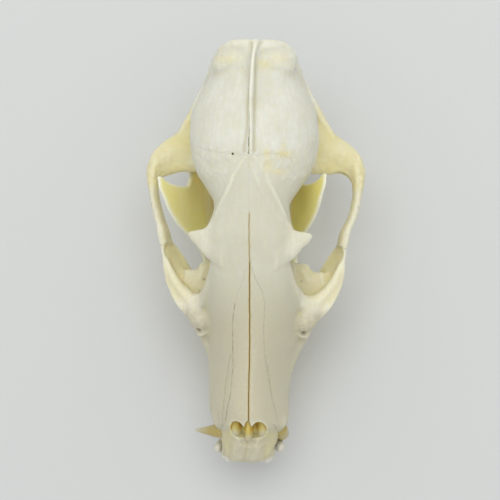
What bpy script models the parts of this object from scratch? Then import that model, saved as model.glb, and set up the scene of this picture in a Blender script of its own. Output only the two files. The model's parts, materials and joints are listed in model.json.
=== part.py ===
"""A raccoon dog's skull at life size: the cranium with its upper teeth, and the two halves of the
lower jaw with theirs. It rests on the lower edge of the jaw, as on a table, with the mouth shut.
The snout points along -Y, Z is up from the table, and the animal's left is along +X."""

import math
from collections import namedtuple

import bmesh
import bpy
import numpy as np
from mathutils import Matrix, Vector

MM = 0.001  # every size below is in millimetres, and the meshes are in metres

# Driving sizes
SKULL_LENGTH = 124.6
FRONT = -SKULL_LENGTH / 2
BACK = SKULL_LENGTH / 2
ARCH_HALF_WIDTH = 32.6  # half of the width across the cheekbones
GUM_HEIGHT = 24.1  # the rim of the upper tooth sockets, above the table
JAW_GUM_HEIGHT = 14.0  # the rim of the lower tooth sockets
GAP = 0.3  # between bones that meet
VOXEL = 0.5  # the grain at which bone forms are fused
CRANIUM_FACES = 5600
JAW_FACES = 1100

BONE_COLOUR = (0.78, 0.75, 0.62, 1.0)
JAW_COLOUR = (0.74, 0.68, 0.47, 1.0)
BONE_ROUGHNESS = 0.55
CREASE_ANGLE = 40.0  # degrees at which a fold of the surface is shown sharp

Section = namedtuple(
    "Section", "y half_width top widest floor top_round floor_round top_taper floor_taper"
)
Bar = namedtuple("Bar", "x y z half_height half_width lean")
Tooth = namedtuple("Tooth", "name y x length width height cusps turn")

# The hollow-free body of the cranium, from the incisors to the occiput, as cross-sections
CRANIUM_SECTIONS = (
    Section(FRONT, 4.9, 27.0, 25.6, 24.4, 2.2, 2.5, 0.00, 0.00),
    Section(-61.2, 6.8, 29.2, 26.5, 23.9, 2.4, 3.0, 0.10, 0.05),
    Section(-58.0, 8.0, 31.8, 27.5, 24.2, 2.6, 3.0, 0.15, 0.10),
    Section(-54.5, 8.8, 34.8, 28.5, 24.6, 2.6, 3.5, 0.22, 0.10),
    Section(-51.8, 9.4, 38.8, 29.0, 24.8, 2.7, 3.5, 0.30, 0.10),
    Section(-49.0, 11.6, 43.0, 29.0, 25.0, 2.7, 3.5, 0.42, 0.10),
    Section(-45.0, 12.3, 44.6, 29.5, 25.0, 2.7, 4.0, 0.45, 0.10),
    Section(-38.0, 12.0, 45.8, 30.0, 25.0, 2.6, 4.0, 0.45, 0.10),
    Section(-31.0, 12.6, 47.4, 30.5, 25.0, 2.5, 4.0, 0.42, 0.10),
    Section(-24.0, 14.4, 49.6, 32.0, 25.0, 2.4, 4.0, 0.38, 0.10),
    Section(-16.0, 14.0, 52.6, 37.0, 25.0, 2.4, 3.5, 0.22, 0.18),
    Section(-10.0, 12.2, 55.2, 45.0, 25.0, 2.5, 3.2, 0.08, 0.25),
    Section(-1.0, 11.4, 58.4, 51.5, 25.4, 2.7, 3.0, 0.00, 0.32),
    Section(7.0, 12.4, 60.8, 53.0, 29.0, 2.5, 2.8, 0.00, 0.42),
    Section(15.0, 10.2, 61.6, 51.5, 31.5, 2.3, 2.6, 0.00, 0.25),
    Section(20.0, 13.4, 62.0, 48.5, 31.5, 2.2, 2.5, 0.00, 0.20),
    Section(25.0, 16.6, 62.8, 47.5, 31.0, 2.15, 2.4, 0.00, 0.20),
    Section(34.0, 18.8, 63.4, 46.5, 30.5, 2.1, 2.4, 0.00, 0.20),
    Section(41.0, 18.4, 62.8, 46.0, 30.0, 2.1, 2.4, 0.00, 0.20),
    Section(48.0, 15.8, 60.8, 45.0, 29.5, 2.1, 2.4, 0.00, 0.15),
    Section(54.0, 13.0, 59.8, 44.5, 29.5, 2.4, 2.4, 0.05, 0.10),
    Section(57.5, 11.6, 59.1, 45.0, 30.0, 2.7, 2.4, 0.10, 0.05),
    Section(59.6, 10.2, 58.5, 47.5, 36.0, 2.9, 2.2, 0.12, 0.05),
    Section(61.0, 8.6, 57.8, 51.0, 44.0, 2.8, 2.0, 0.08, 0.00),
    Section(BACK - 0.4, 6.0, 57.0, 53.5, 50.0, 2.4, 2.0, 0.00, 0.00),
)

# The socket ridge of the upper cheek teeth, on the left side
SOCKET_RIDGE = (
    Bar(8.6, -52.5, 27.0, 3.2, 2.0, 0),
    Bar(10.2, -45.5, 27.2, 3.6, 2.2, 0),
    Bar(11.0, -38.0, 27.4, 3.8, 2.2, 0),
    Bar(12.4, -31.0, 27.6, 4.0, 2.4, 0),
    Bar(14.4, -22.0, 27.9, 4.3, 3.4, 0),
    Bar(15.0, -13.5, 28.2, 4.6, 4.2, 0),
    Bar(13.2, -6.5, 28.2, 4.5, 3.6, 0),
    Bar(11.0, -1.5, 28.4, 3.9, 2.4, 0),
)

# The cheekbone's arch, from the upper jaw back to the side of the braincase
CHEEK_ARCH = (
    Bar(10.5, -21.0, 32.4, 5.0, 3.0, 20),
    Bar(15.4, -16.8, 32.0, 5.8, 2.8, 34),
    Bar(19.6, -12.0, 31.2, 5.6, 2.1, 40),
    Bar(23.0, -6.0, 30.6, 5.0, 1.7, 38),
    Bar(24.8, 0.0, 31.6, 4.6, 1.5, 30),
    Bar(25.7, 3.4, 32.8, 4.2, 1.4, 16),
    Bar(26.7, 6.6, 33.8, 3.8, 1.3, 7),
    Bar(28.8, 12.0, 35.2, 3.3, 1.4, 6),
    Bar(30.2, 18.0, 36.2, 3.1, 1.4, 6),
    Bar(30.6, 23.5, 36.4, 3.0, 1.8, 6),
    Bar(29.6, 28.0, 36.0, 3.0, 2.2, 6),
)

# The front rim of the eye socket, from the arch up to the brow
SOCKET_RIM = (
    Bar(26.2, 0.0, 34.6, 1.0, 1.0, 0),
    Bar(25.4, -2.6, 34.6, 1.4, 1.3, 0),
    Bar(23.7, -6.8, 34.6, 1.7, 1.6, 0),
    Bar(21.0, -10.3, 35.0, 2.0, 1.8, 0),
    Bar(17.7, -12.8, 36.2, 2.3, 2.1, 0),
    Bar(14.8, -12.8, 39.4, 2.4, 2.1, 0),
    Bar(12.9, -10.4, 43.6, 2.3, 2.0, 0),
    Bar(11.0, -6.4, 48.4, 2.1, 1.9, 0),
    Bar(9.9, -1.6, 52.6, 1.9, 1.7, 0),
)

# The small upright point on the arch behind the eye socket
ARCH_POINT = (
    Bar(26.3, 0.6, 34.0, 2.0, 1.1, 20),
    Bar(26.7, 4.0, 35.9, 2.1, 1.0, 12),
    Bar(27.3, 7.4, 36.6, 1.2, 0.8, 8),
)

Slab = namedtuple("Slab", "x y z half_length half_thickness")

# The floor of the eye socket, over the last cheek teeth
SOCKET_FLOOR = (
    Slab(7.0, -8.2, 29.6, 8.8, 3.4),
    Slab(12.4, -8.2, 29.8, 7.2, 3.0),
    Slab(14.2, -8.6, 30.0, 6.6, 2.9),
    Slab(16.4, -9.4, 30.4, 5.8, 2.7),
    Slab(20.8, -9.2, 31.2, 5.2, 2.2),
)

# The shelf that joins the arch to the braincase, over the jaw joint
JOINT_SHELF = (
    Slab(11.0, 34.5, 38.0, 9.5, 4.5),
    Slab(18.5, 33.2, 36.2, 8.6, 3.4),
    Slab(23.5, 31.0, 35.4, 6.6, 2.7),
    Slab(28.0, 28.4, 35.6, 5.2, 2.6),
    Slab(30.8, 26.6, 36.0, 4.0, 2.7),
    Slab(ARCH_HALF_WIDTH, 25.6, 36.2, 1.8, 1.4),
)

# The pointed process of the brow, behind the eye socket
BROW_POINT = (
    Slab(7.5, 5.2, 55.6, 9.0, 3.4),
    Slab(10.8, 4.8, 55.0, 6.4, 2.6),
    Slab(12.6, 4.6, 54.4, 4.3, 2.1),
    Slab(14.4, 5.5, 53.6, 2.9, 1.7),
    Slab(16.3, 6.3, 52.5, 1.9, 1.3),
    Slab(17.9, 6.9, 51.5, 0.9, 0.8),
)

# The ridge that runs from the joint shelf back to the crest of the neck
SIDE_RIDGE = (
    Bar(24.6, 33.0, 35.6, 1.4, 1.3, 0),
    Bar(20.0, 40.6, 37.0, 1.9, 1.4, 0),
    Bar(16.6, 46.6, 39.4, 2.2, 1.4, 0),
    Bar(14.0, 51.8, 42.6, 2.2, 1.3, 0),
    Bar(12.2, 55.4, 47.0, 2.0, 1.2, 0),
)

# The crest of the neck, from the midline down to the process behind the ear
NECK_CREST = (
    Bar(-1.5, 59.4, 57.4, 1.7, 1.8, 0),
    Bar(2.6, BACK - 1.8, 58.0, 1.7, 1.9, 0),
    Bar(6.2, 60.4, 57.2, 1.6, 1.9, 0),
    Bar(9.2, 58.6, 54.6, 1.4, 1.9, 0),
    Bar(11.4, 56.0, 51.0, 1.4, 1.9, 0),
    Bar(12.8, 52.8, 45.6, 1.5, 1.8, 0),
    Bar(14.4, 49.6, 40.0, 1.7, 1.8, 0),
    Bar(15.4, 47.4, 34.8, 1.8, 1.9, 0),
    Bar(15.0, 46.8, 31.6, 1.2, 1.3, 0),
)

# The crest along the top of the braincase
TOP_CREST = (
    Bar(0.0, 27.0, 61.9, 1.2, 0.5, 0),
    Bar(0.0, 33.0, 62.6, 2.0, 0.7, 0),
    Bar(0.0, 40.0, 62.4, 2.7, 0.9, 0),
    Bar(0.0, 47.0, 61.4, 3.4, 1.1, 0),
    Bar(0.0, 54.0, 60.0, 3.4, 1.3, 0),
    Bar(0.0, 60.0, 58.6, 2.2, 1.4, 0),
)

# The low ridge that each brow sends back to the crest
BROW_RIDGE = (
    Bar(14.0, 7.4, 54.4, 1.0, 1.0, 0),
    Bar(10.6, 10.8, 56.9, 0.9, 0.9, 0),
    Bar(8.0, 15.0, 58.8, 0.8, 0.8, 0),
    Bar(6.0, 20.0, 60.9, 0.8, 0.8, 0),
    Bar(2.8, 26.4, 62.4, 0.7, 0.8, 0),
    Bar(0.6, 30.0, 63.2, 0.6, 0.6, 0),
)

# The plate beside the rear opening of the nose, and its hook
WING_PLATE = (
    Bar(8.6, -3.5, 28.0, 3.4, 1.4, 0),
    Bar(6.8, 3.0, 28.2, 3.8, 0.9, 0),
    Bar(5.6, 9.5, 28.2, 4.0, 0.8, 0),
    Bar(5.2, 15.5, 27.6, 4.2, 0.8, 0),
    Bar(5.4, 19.5, 27.0, 3.2, 0.8, 0),
    Bar(5.6, 21.5, 25.2, 1.1, 0.7, 0),
)

# The process that stands behind the ear capsule, for the neck muscles
EAR_SPUR = (
    Bar(12.6, 49.5, 33.5, 3.0, 2.6, 0),
    Bar(13.0, 49.6, 28.5, 2.0, 1.8, 0),
    Bar(13.1, 49.2, 24.2, 1.1, 1.1, 0),
    Bar(13.1, 49.0, 22.6, 0.5, 0.5, 0),
)

# The lip behind the jaw joint
JOINT_LIP = (
    Bar(16.4, 33.6, 32.4, 2.6, 1.3, 0),
    Bar(19.6, 33.6, 31.2, 3.2, 1.3, 0),
    Bar(22.8, 33.2, 31.8, 2.6, 1.2, 0),
)

Ball = namedtuple("Ball", "x y z radius_x radius_y radius_z turn")
CHEEK_ROOT = Ball(15.4, -16.8, 34.8, 4.4, 5.4, 5.6, -30)
REAR_LOBE = Ball(5.6, 57.2, 54.6, 5.7, 4.9, 5.0, -22)
CANINE_SOCKET = Ball(9.0, -48.4, 31.0, 2.7, 3.4, 4.2, 0)
EAR_CAPSULE = Ball(10.8, 38.2, 27.4, 5.8, 8.8, 6.2, 18)
EAR_TUBE = Ball(15.6, 40.6, 32.4, 3.4, 3.0, 3.0, 0)
NECK_KNUCKLE = Ball(6.9, 53.6, 32.2, 3.5, 3.6, 5.0, -24)
SKULL_BASE = Ball(0.0, 50.0, 29.0, 6.5, 7.0, 2.4, 0)
JAW_KNUCKLE = Ball(20.4, 28.9, 30.4, 5.6, 2.4, 2.4, -8)

# What is cut away: the nose's passages, the rear opening of the nose, the neck opening, and the
# holes for the nerves of the face
NOSE_ENTRY = (
    Section(-56.5, 1.4, 42.0, 37.0, 34.4, 2.2, 2.0, 0.0, 0.2),
    Section(-54.5, 2.9, 41.9, 36.5, 32.8, 2.2, 2.0, 0.0, 0.2),
    Section(-52.0, 4.2, 41.9, 36.0, 31.2, 2.2, 2.0, 0.0, 0.2),
    Section(-49.0, 4.9, 41.9, 35.8, 30.2, 2.3, 2.0, 0.0, 0.2),
    Section(-46.5, 5.4, 42.4, 35.8, 29.8, 2.3, 2.0, 0.1, 0.2),
    Section(-44.5, 5.4, 42.8, 35.8, 29.6, 2.3, 2.0, 0.1, 0.2),
)
NOSE_PASSAGE = (
    Bar(3.1, -50.0, 35.2, 4.4, 1.9, 0),
    Bar(3.4, -44.0, 35.6, 5.2, 2.3, 0),
    Bar(3.5, -36.0, 36.2, 5.2, 2.4, 0),
    Bar(3.4, -30.0, 36.6, 3.6, 1.8, 0),
)
NOSE_LOBE = Ball(2.9, -51.4, 40.0, 2.6, 3.0, 6.0, 0)
REAR_NOSE_OPENING = Ball(0.0, 4.5, 29.2, 4.3, 13.0, 2.7, 0)
NECK_OPENING = Ball(0.0, 56.5, 36.4, 6.1, 17.0, 5.0, 0)
FACE_NERVE_HOLE = Ball(14.0, -21.6, 33.6, 1.5, 5.0, 2.3, -6)

# Upper teeth of the left side. A cusp is its place along and across the crown, its share of the
# crown's height, and its spread, in half-lengths and half-widths
Cusp = namedtuple("Cusp", "along across share spread")
BLADE = (Cusp(-0.15, 0.0, 1.0, 0.95), Cusp(0.62, 0.0, 0.42, 0.40))
SLICER = (
    Cusp(-0.22, 0.25, 1.0, 0.70),
    Cusp(0.52, 0.25, 0.66, 0.55),
    Cusp(-0.62, -0.55, 0.45, 0.50),
)
GRINDER = (
    Cusp(-0.40, 0.55, 1.0, 0.55),
    Cusp(0.42, 0.50, 0.85, 0.55),
    Cusp(-0.10, -0.50, 0.75, 0.60),
)
LOWER_SLICER = (
    Cusp(-0.62, 0.0, 0.74, 0.50),
    Cusp(-0.12, 0.1, 1.0, 0.55),
    Cusp(0.62, 0.35, 0.50, 0.42),
    Cusp(0.62, -0.35, 0.44, 0.42),
)
UPPER_TEETH = (
    Tooth("first_premolar", -45.2, 10.5, 3.4, 2.6, 3.2, BLADE, 0),
    Tooth("second_premolar", -39.2, 11.0, 5.8, 2.9, 4.4, BLADE, -3),
    Tooth("third_premolar", -31.8, 12.4, 6.6, 3.2, 4.8, BLADE, -12),
    Tooth("carnassial", -22.8, 14.8, 10.4, 4.6, 6.0, SLICER, -10),
    Tooth("first_molar", -13.9, 14.9, 8.0, 9.0, 4.2, GRINDER, 10),
    Tooth("second_molar", -7.0, 13.0, 5.2, 6.8, 3.4, GRINDER, 14),
)
UPPER_INCISORS = (
    Tooth("first_incisor", -60.9, 1.4, 2.5, 2.2, 4.6, (), 0),
    Tooth("second_incisor", -60.5, 4.1, 2.7, 2.4, 5.0, (), 14),
)
LOWER_TEETH = (
    Tooth("first_premolar", -49.6, 7.0, 2.8, 2.2, 2.4, BLADE, 0),
    Tooth("second_premolar", -44.8, 7.4, 5.0, 2.5, 3.8, BLADE, -3),
    Tooth("third_premolar", -39.0, 8.1, 5.8, 2.7, 4.2, BLADE, -6),
    Tooth("fourth_premolar", -32.2, 9.1, 6.8, 3.0, 4.6, BLADE, -8),
    Tooth("carnassial", -22.4, 10.7, 12.4, 4.4, 6.4, LOWER_SLICER, -6),
    Tooth("second_molar", -12.4, 12.0, 6.6, 5.0, 3.6, GRINDER, -4),
    Tooth("third_molar", -7.7, 12.5, 2.9, 2.8, 2.6, BLADE, 0),
)
LOWER_INCISORS = (
    Tooth("first_incisor", -58.0, 1.25, 1.8, 1.9, 4.0, (), 0),
    Tooth("second_incisor", -57.7, 3.2, 2.0, 2.1, 4.2, (), 10),
    Tooth("third_incisor", -56.9, 5.2, 2.2, 2.2, 4.4, (), 26),
)
ROOT_DEPTH = 3.0
CROWN_TABLE = 0.42  # the height of a cheek tooth's crown between its cusps, as a share
INCISOR_TIP = 0.8  # how far an incisor's edge stands ahead of its root

# The long teeth, from inside the socket to the tip, on the left side
UPPER_CANINE = (
    Bar(9.2, -48.6, 30.0, 2.4, 1.9, 0),
    Bar(9.7, -50.2, 25.0, 2.9, 2.1, 0),
    Bar(10.1, -52.2, 20.5, 2.3, 1.7, 0),
    Bar(10.5, -53.7, 16.2, 1.5, 1.2, 0),
    Bar(10.7, -54.4, 12.6, 0.5, 0.45, 0),
)
# The right upper canine, which has worked loose and leans out of its socket
LOOSE_CANINE = (
    Bar(-7.4, -52.3, 29.8, 1.8, 2.3, 0),
    Bar(-9.6, -52.6, 27.6, 2.0, 2.6, 0),
    Bar(-12.4, -53.0, 25.2, 1.7, 2.1, 0),
    Bar(-14.9, -53.4, 23.0, 1.2, 1.4, 0),
    Bar(-17.0, -53.6, 20.9, 0.4, 0.5, 0),
)
UPPER_CORNER_INCISOR = (
    Bar(5.9, -57.6, 27.5, 1.5, 1.3, 0),
    Bar(6.4, -58.8, 24.0, 1.8, 1.4, 0),
    Bar(6.9, -60.1, 21.0, 1.3, 1.1, 0),
    Bar(7.2, -60.8, 18.4, 0.4, 0.4, 0),
)
LOWER_CANINE = (
    Bar(6.2, -52.8, 9.5, 2.2, 1.8, 0),
    Bar(7.0, -54.6, 14.0, 2.6, 1.9, 0),
    Bar(8.6, -56.6, 18.4, 1.9, 1.5, 0),
    Bar(9.9, -57.5, 22.0, 1.2, 1.0, 0),
    Bar(10.5, -57.6, 24.6, 0.4, 0.4, 0),
)

# The lower jaw's half, drawn flat as seen from its side, y and z, before it is bent to its plan
RAMUS_OUTLINE = (
    (-8.0, 9.0),
    (-3.5, 15.6),
    (1.5, 20.0),
    (6.0, 27.5),
    (10.5, 37.0),
    (14.5, 45.0),
    (17.6, 49.4),
    (21.0, 51.0),
    (23.6, 50.2),
    (24.0, 47.4),
    (22.4, 43.0),
    (21.2, 37.6),
    (22.2, 33.4),
    (26.4, 31.2),
    (30.0, 28.5),
    (27.6, 24.0),
    (27.0, 18.5),
    (28.4, 14.0),
    (31.2, 10.6),
    (30.4, 9.0),
    (25.0, 8.2),
    (20.0, 6.0),
    (17.4, 1.6),
    (13.0, -0.3),
    (7.5, 0.9),
    (1.0, 2.6),
)
JAW_BODY = (
    Bar(0.0, -58.6, 12.4, 1.9, 2.0, 0),
    Bar(0.0, -55.5, 11.0, 3.5, 3.5, 0),
    Bar(0.0, -51.0, 9.4, 4.7, 4.0, 0),
    Bar(0.0, -46.0, 8.3, 5.5, 3.4, 0),
    Bar(0.0, -40.0, 7.5, 6.3, 3.0, 0),
    Bar(0.0, -32.0, 6.8, 7.0, 3.0, 0),
    Bar(0.0, -24.0, 6.9, 7.2, 3.1, 0),
    Bar(0.0, -14.0, 7.5, 7.1, 3.0, 0),
    Bar(0.0, -5.0, 8.6, 6.7, 2.7, 0),
    Bar(0.0, 4.0, 9.8, 5.6, 2.0, 0),
    Bar(0.0, 11.0, 9.8, 4.0, 1.3, 0),
)
CORONOID_RIM = (
    Bar(0.3, -4.0, 13.6, 1.6, 1.8, 0),
    Bar(0.5, 1.6, 19.0, 1.5, 1.7, 0),
    Bar(0.6, 6.6, 27.6, 1.3, 1.5, 0),
    Bar(0.6, 11.0, 36.6, 1.1, 1.3, 0),
    Bar(0.4, 15.6, 44.8, 1.0, 1.1, 0),
    Bar(0.0, 20.0, 49.0, 0.8, 0.9, 0),
)
JAW_LOWER_RIM = (
    Bar(0.0, 2.0, 4.2, 1.6, 1.8, 0),
    Bar(0.0, 9.0, 2.6, 1.6, 1.7, 0),
    Bar(0.0, 14.5, 2.0, 1.6, 1.6, 0),
    Bar(0.0, 19.0, 7.4, 1.6, 1.5, 0),
    Bar(-0.4, 25.0, 10.0, 1.7, 1.6, 0),
    Bar(-1.0, 30.0, 10.2, 1.0, 1.2, 0),
)
KNUCKLE_NECK = (
    Bar(0.4, 12.0, 20.0, 1.4, 1.3, 0),
    Bar(0.3, 20.0, 24.5, 1.8, 1.6, 0),
    Bar(0.0, 26.0, 28.2, 2.4, 2.2, 0),
    Bar(0.0, 28.4, 29.8, 1.8, 2.4, 0),
)
RAMUS_HALF_THICKNESS = 1.1
# For places along the jaw: the distance from the midline at the tooth sockets, and how fast the
# plate above them curves outwards
JAW_PLAN = (
    (-60.0, 2.2, 0.0),
    (-55.5, 3.4, 0.0),
    (-51.0, 4.2, 0.0),
    (-46.0, 5.6, 0.0),
    (-40.0, 7.3, 0.0),
    (-34.0, 8.4, 0.0),
    (-24.0, 10.2, 0.0),
    (-14.0, 11.6, 0.001),
    (-4.0, 12.4, 0.004),
    (4.0, 12.3, 0.0058),
    (12.0, 12.7, 0.0060),
    (18.0, 13.5, 0.0054),
    (24.0, 14.8, 0.0040),
    (32.0, 18.6, 0.0030),
)
BODY_LEAN = 0.06  # how far the jaw's body leans out for each millimetre up
JAW_SKEW = -0.034  # how far the whole jaw swings to the right for each millimetre back
JAW_HINGE = -55.0  # where it swings from, between the canines
CUT_REACH = 200.0  # the size of the block that trims the jaw to the table


def smooth(keys, rows, at):
    """Rows read at places along a smooth curve through the given rows, which never overshoots."""
    keys, rows, at = (np.asarray(v, float) for v in (keys, rows, at))
    step = np.diff(keys)[:, None]
    slope = np.diff(rows, axis=0) / step
    before, after = slope[:-1], slope[1:]
    same_way = before * after > 0
    total = np.where(same_way, before + after, 1.0)
    inner = np.where(same_way, 2 * before * after / total, 0.0)
    tangent = np.vstack([slope[:1], inner, slope[-1:]])
    i = np.clip(np.searchsorted(keys, at) - 1, 0, len(keys) - 2)
    t = ((at - keys[i]) / step[i, 0])[:, None]
    return (
        (2 * t**3 - 3 * t**2 + 1) * rows[i]
        + (t**3 - 2 * t**2 + t) * step[i] * tangent[i]
        + (3 * t**2 - 2 * t**3) * rows[i + 1]
        + (t**3 - t**2) * step[i] * tangent[i + 1]
    )


def loft(rings):
    """A closed mesh through rings of points, capped at both ends."""
    form = bmesh.new()
    made = [[form.verts.new(Vector(p) * MM) for p in ring] for ring in rings]
    count = len(made[0])
    for ring, following in zip(made, made[1:]):
        for i in range(count):
            j = (i + 1) % count
            form.faces.new((ring[i], ring[j], following[j], following[i]))
    form.faces.new(list(reversed(made[0])))
    form.faces.new(made[-1])
    bmesh.ops.recalc_face_normals(form, faces=form.faces)
    return form


def sectioned(sections, along, around):
    """A body along Y from cross-sections that are wide ovals above and below their widest line."""
    rows = np.array(sections)
    places = np.linspace(rows[0, 0], rows[-1, 0], along)
    rings = []
    for y, row in zip(places, smooth(rows[:, 0], rows[:, 1:], places)):
        half_width, top, widest, floor, top_round, floor_round, top_taper, floor_taper = row
        ring = []
        for k in range(around):
            angle = 2 * math.pi * k / around
            c, s = math.cos(angle), math.sin(angle)
            roundness = top_round if s >= 0 else floor_round
            taper = top_taper if s >= 0 else floor_taper
            up = abs(s) ** (2 / roundness)
            x = half_width * math.copysign(abs(c) ** (2 / roundness), c) * (1 - taper * up)
            z = widest + up * ((top - widest) if s >= 0 else (floor - widest))
            ring.append((x, y, z))
        rings.append(ring)
    return loft(rings)


def barred(bars, along, around, bulge=1.0):
    """A bar of oval section along a curved path, leaning outwards by its lean in degrees."""
    rows = np.array(bars)
    reach = np.concatenate([[0], np.cumsum(np.linalg.norm(np.diff(rows[:, :3], axis=0), axis=1))])
    rows = smooth(reach, rows, np.linspace(0, reach[-1], along))
    points = rows[:, :3]
    direction = np.gradient(points, axis=0)
    rings = []
    for point, way, (half_height, half_width, lean) in zip(points, direction, rows[:, 3:]):
        way = Vector(way).normalized()
        upright = Vector((0, 0, 1)) if abs(way.z) < 0.75 else Vector((0, -1, 0))
        side = way.cross(upright).normalized()
        up = side.cross(way).normalized()
        turn = Matrix.Rotation(math.radians(lean), 3, way)
        side, up = turn @ side, turn @ up
        ring = []
        for k in range(around):
            angle = 2 * math.pi * k / around
            out = side * (half_width * math.cos(angle)) + up * (half_height * math.sin(angle))
            ring.append(Vector(point) + out * bulge)
        rings.append(ring)
    return loft(rings)


def slabbed(slabs, along, around):
    """A plate that reaches out along X, with an oval section in the Y-Z plane."""
    rows = np.array(slabs)
    rows = smooth(rows[:, 0], rows, np.linspace(rows[0, 0], rows[-1, 0], along))
    angles = 2 * math.pi * np.arange(around) / around
    rings = []
    for x, y, z, half_length, half_thickness in rows:
        ring = [
            (x, y + half_length * math.cos(a), z + half_thickness * math.sin(a)) for a in angles
        ]
        rings.append(ring)
    return loft(rings)


def balled(ball, grow=0.0, segments=32):
    """An oval lump, turned about Z by its turn in degrees."""
    form = bmesh.new()
    bmesh.ops.create_uvsphere(form, u_segments=segments, v_segments=segments // 2, radius=MM)
    size = Matrix.Diagonal((ball.radius_x + grow, ball.radius_y + grow, ball.radius_z + grow, 1))
    turn = Matrix.Rotation(math.radians(ball.turn), 4, "Z")
    place = Matrix.Translation(Vector((ball.x, ball.y, ball.z)) * MM)
    bmesh.ops.transform(form, matrix=place @ turn @ size, verts=form.verts)
    return form


def plated(outline, half_thickness, steps):
    """A flat plate in the Y-Z plane with a smooth closed outline, as thick as twice the half."""
    points = np.array(outline + outline[:3])
    keys = np.arange(len(points))
    rim = smooth(keys, points, np.linspace(1, len(outline) + 1, steps * len(outline) + 1)[:-1])
    rings = [[(x, y, z) for y, z in rim] for x in (-half_thickness, half_thickness)]
    return loft(rings)


def blocked(high):
    """A block from far off up to the given corner, to trim the jaw with."""
    form = bmesh.new()
    bmesh.ops.create_cube(form, size=1.0)
    low, high = Vector((-CUT_REACH,) * 3) * MM, Vector(high) * MM
    place = Matrix.Translation((low + high) / 2) @ Matrix.Diagonal((*(high - low), 1))
    bmesh.ops.transform(form, matrix=place, verts=form.verts)
    return form


def mirrored(form):
    """The form and its mirror image across the midline, as two shells of one mesh."""
    both = bmesh.ops.duplicate(form, geom=form.verts[:] + form.edges[:] + form.faces[:])
    copied = [item for item in both["geom"] if isinstance(item, bmesh.types.BMVert)]
    faces = [item for item in both["geom"] if isinstance(item, bmesh.types.BMFace)]
    for vertex in copied:
        vertex.co.x = -vertex.co.x
    bmesh.ops.reverse_faces(form, faces=faces)
    return form


def object_of(name, forms, collection):
    """One object that holds the given forms as shells."""
    mesh = bpy.data.meshes.new(name)
    whole = bmesh.new()
    for form in forms:
        form.to_mesh(mesh)
        form.free()
        whole.from_mesh(mesh)
    whole.to_mesh(mesh)
    whole.free()
    made = bpy.data.objects.new(name, mesh)
    collection.objects.link(made)
    return made


def applied(made):
    """The object with its modifiers worked into its mesh."""
    bpy.context.view_layer.update()
    graph = bpy.context.evaluated_depsgraph_get()
    mesh = bpy.data.meshes.new_from_object(made.evaluated_get(graph))
    made.modifiers.clear()
    old = made.data
    made.data = mesh
    bpy.data.meshes.remove(old)
    return made


def fused(made, rounds):
    """The shells of an object fused into one skin, with the joins softened."""
    remesh = made.modifiers.new("fuse", "REMESH")
    remesh.mode = "VOXEL"
    remesh.voxel_size = VOXEL * MM
    soften = made.modifiers.new("soften", "SMOOTH")
    soften.factor = 0.5
    soften.iterations = rounds
    return applied(made)


def combined(made, others, operation):
    """The object after one Boolean with a collection, whose objects are then removed."""
    boolean = made.modifiers.new(operation.lower(), "BOOLEAN")
    boolean.operation = operation
    boolean.operand_type = "COLLECTION"
    boolean.collection = others
    boolean.solver = "EXACT"
    applied(made)
    for other in list(others.objects):
        bpy.data.objects.remove(other)
    return made


def thinned(made, faces):
    """The object with its mesh brought down to about this many triangles."""
    thin = made.modifiers.new("thin", "DECIMATE")
    thin.ratio = faces / (2 * len(made.data.polygons))
    return applied(made)


def largest_only(made):
    """Drops every loose scrap, so that the object is one closed surface."""
    form = bmesh.new()
    form.from_mesh(made.data)
    left = set(form.verts)
    islands = []
    while left:
        island = [left.pop()]
        for vertex in island:
            for edge in vertex.link_edges:
                other = edge.other_vert(vertex)
                if other in left:
                    left.remove(other)
                    island.append(other)
        islands.append(island)
    islands.sort(key=len)
    bmesh.ops.delete(form, geom=[v for island in islands[:-1] for v in island], context="VERTS")
    form.to_mesh(made.data)
    form.free()
    return made


def placed(form, tooth, gum, up):
    """The tooth turned to its row and set at the rim of its socket, pointing up or down."""
    turn = Matrix.Rotation(math.radians(tooth.turn), 4, "Z")
    flip = Matrix.Diagonal((1, 1, up, 1))
    place = Matrix.Translation(Vector((tooth.x, tooth.y, gum)) * MM)
    bmesh.ops.transform(form, matrix=place @ flip @ turn, verts=form.verts)
    bmesh.ops.recalc_face_normals(form, faces=form.faces)
    return form


def cheek_tooth(tooth, gum, up, around, steps):
    """A root in its socket, and a crown that rises to its cusps."""
    angles = 2 * math.pi * np.arange(around) / around

    def height(along, across):
        rises = [CROWN_TABLE * (1 - math.hypot(along, across) ** 4)]
        for cusp in tooth.cusps:
            away = math.hypot(along - cusp.along, (across - cusp.across) * 0.8) / cusp.spread
            rises.append(cusp.share * (1 - away**1.3) if away < 1 else 0.0)
        return tooth.height * max(rises)

    def ring(share, level=None):
        points = []
        for a in angles:
            along, across = share * math.cos(a), share * math.sin(a)
            z = height(along, across) if level is None else level
            points.append((across * tooth.width / 2, along * tooth.length / 2, z))
        return points

    rings = [ring(0.75, -ROOT_DEPTH), ring(0.95, -0.6), ring(1.0, 0.3)]
    rings += [ring(share) for share in np.linspace(0.85, 0.15, steps)]
    return placed(loft(rings), tooth, gum, up)


def incisor(tooth, gum, up, around):
    """A root, and a chisel crown that tips forwards."""
    levels = (  # share of the height, of the width and of the thickness
        (-ROOT_DEPTH / tooth.height, 0.55, 0.70),
        (-0.05, 0.70, 0.95),
        (0.45, 1.00, 0.85),
        (0.80, 0.98, 0.50),
        (1.00, 0.80, 0.22),
    )
    rings = []
    for rise, wide, thick in levels:
        ring = []
        for k in range(around):
            angle = 2 * math.pi * k / around
            x = wide * tooth.length / 2 * math.cos(angle)
            y = thick * tooth.width / 2 * math.sin(angle) - INCISOR_TIP * max(rise, 0)
            ring.append((x, y, rise * tooth.height))
        rings.append(ring)
    return placed(loft(rings), tooth, gum, up)


def unflipped(form):
    """The form kept on the left side, where it was made."""
    return form


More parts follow.
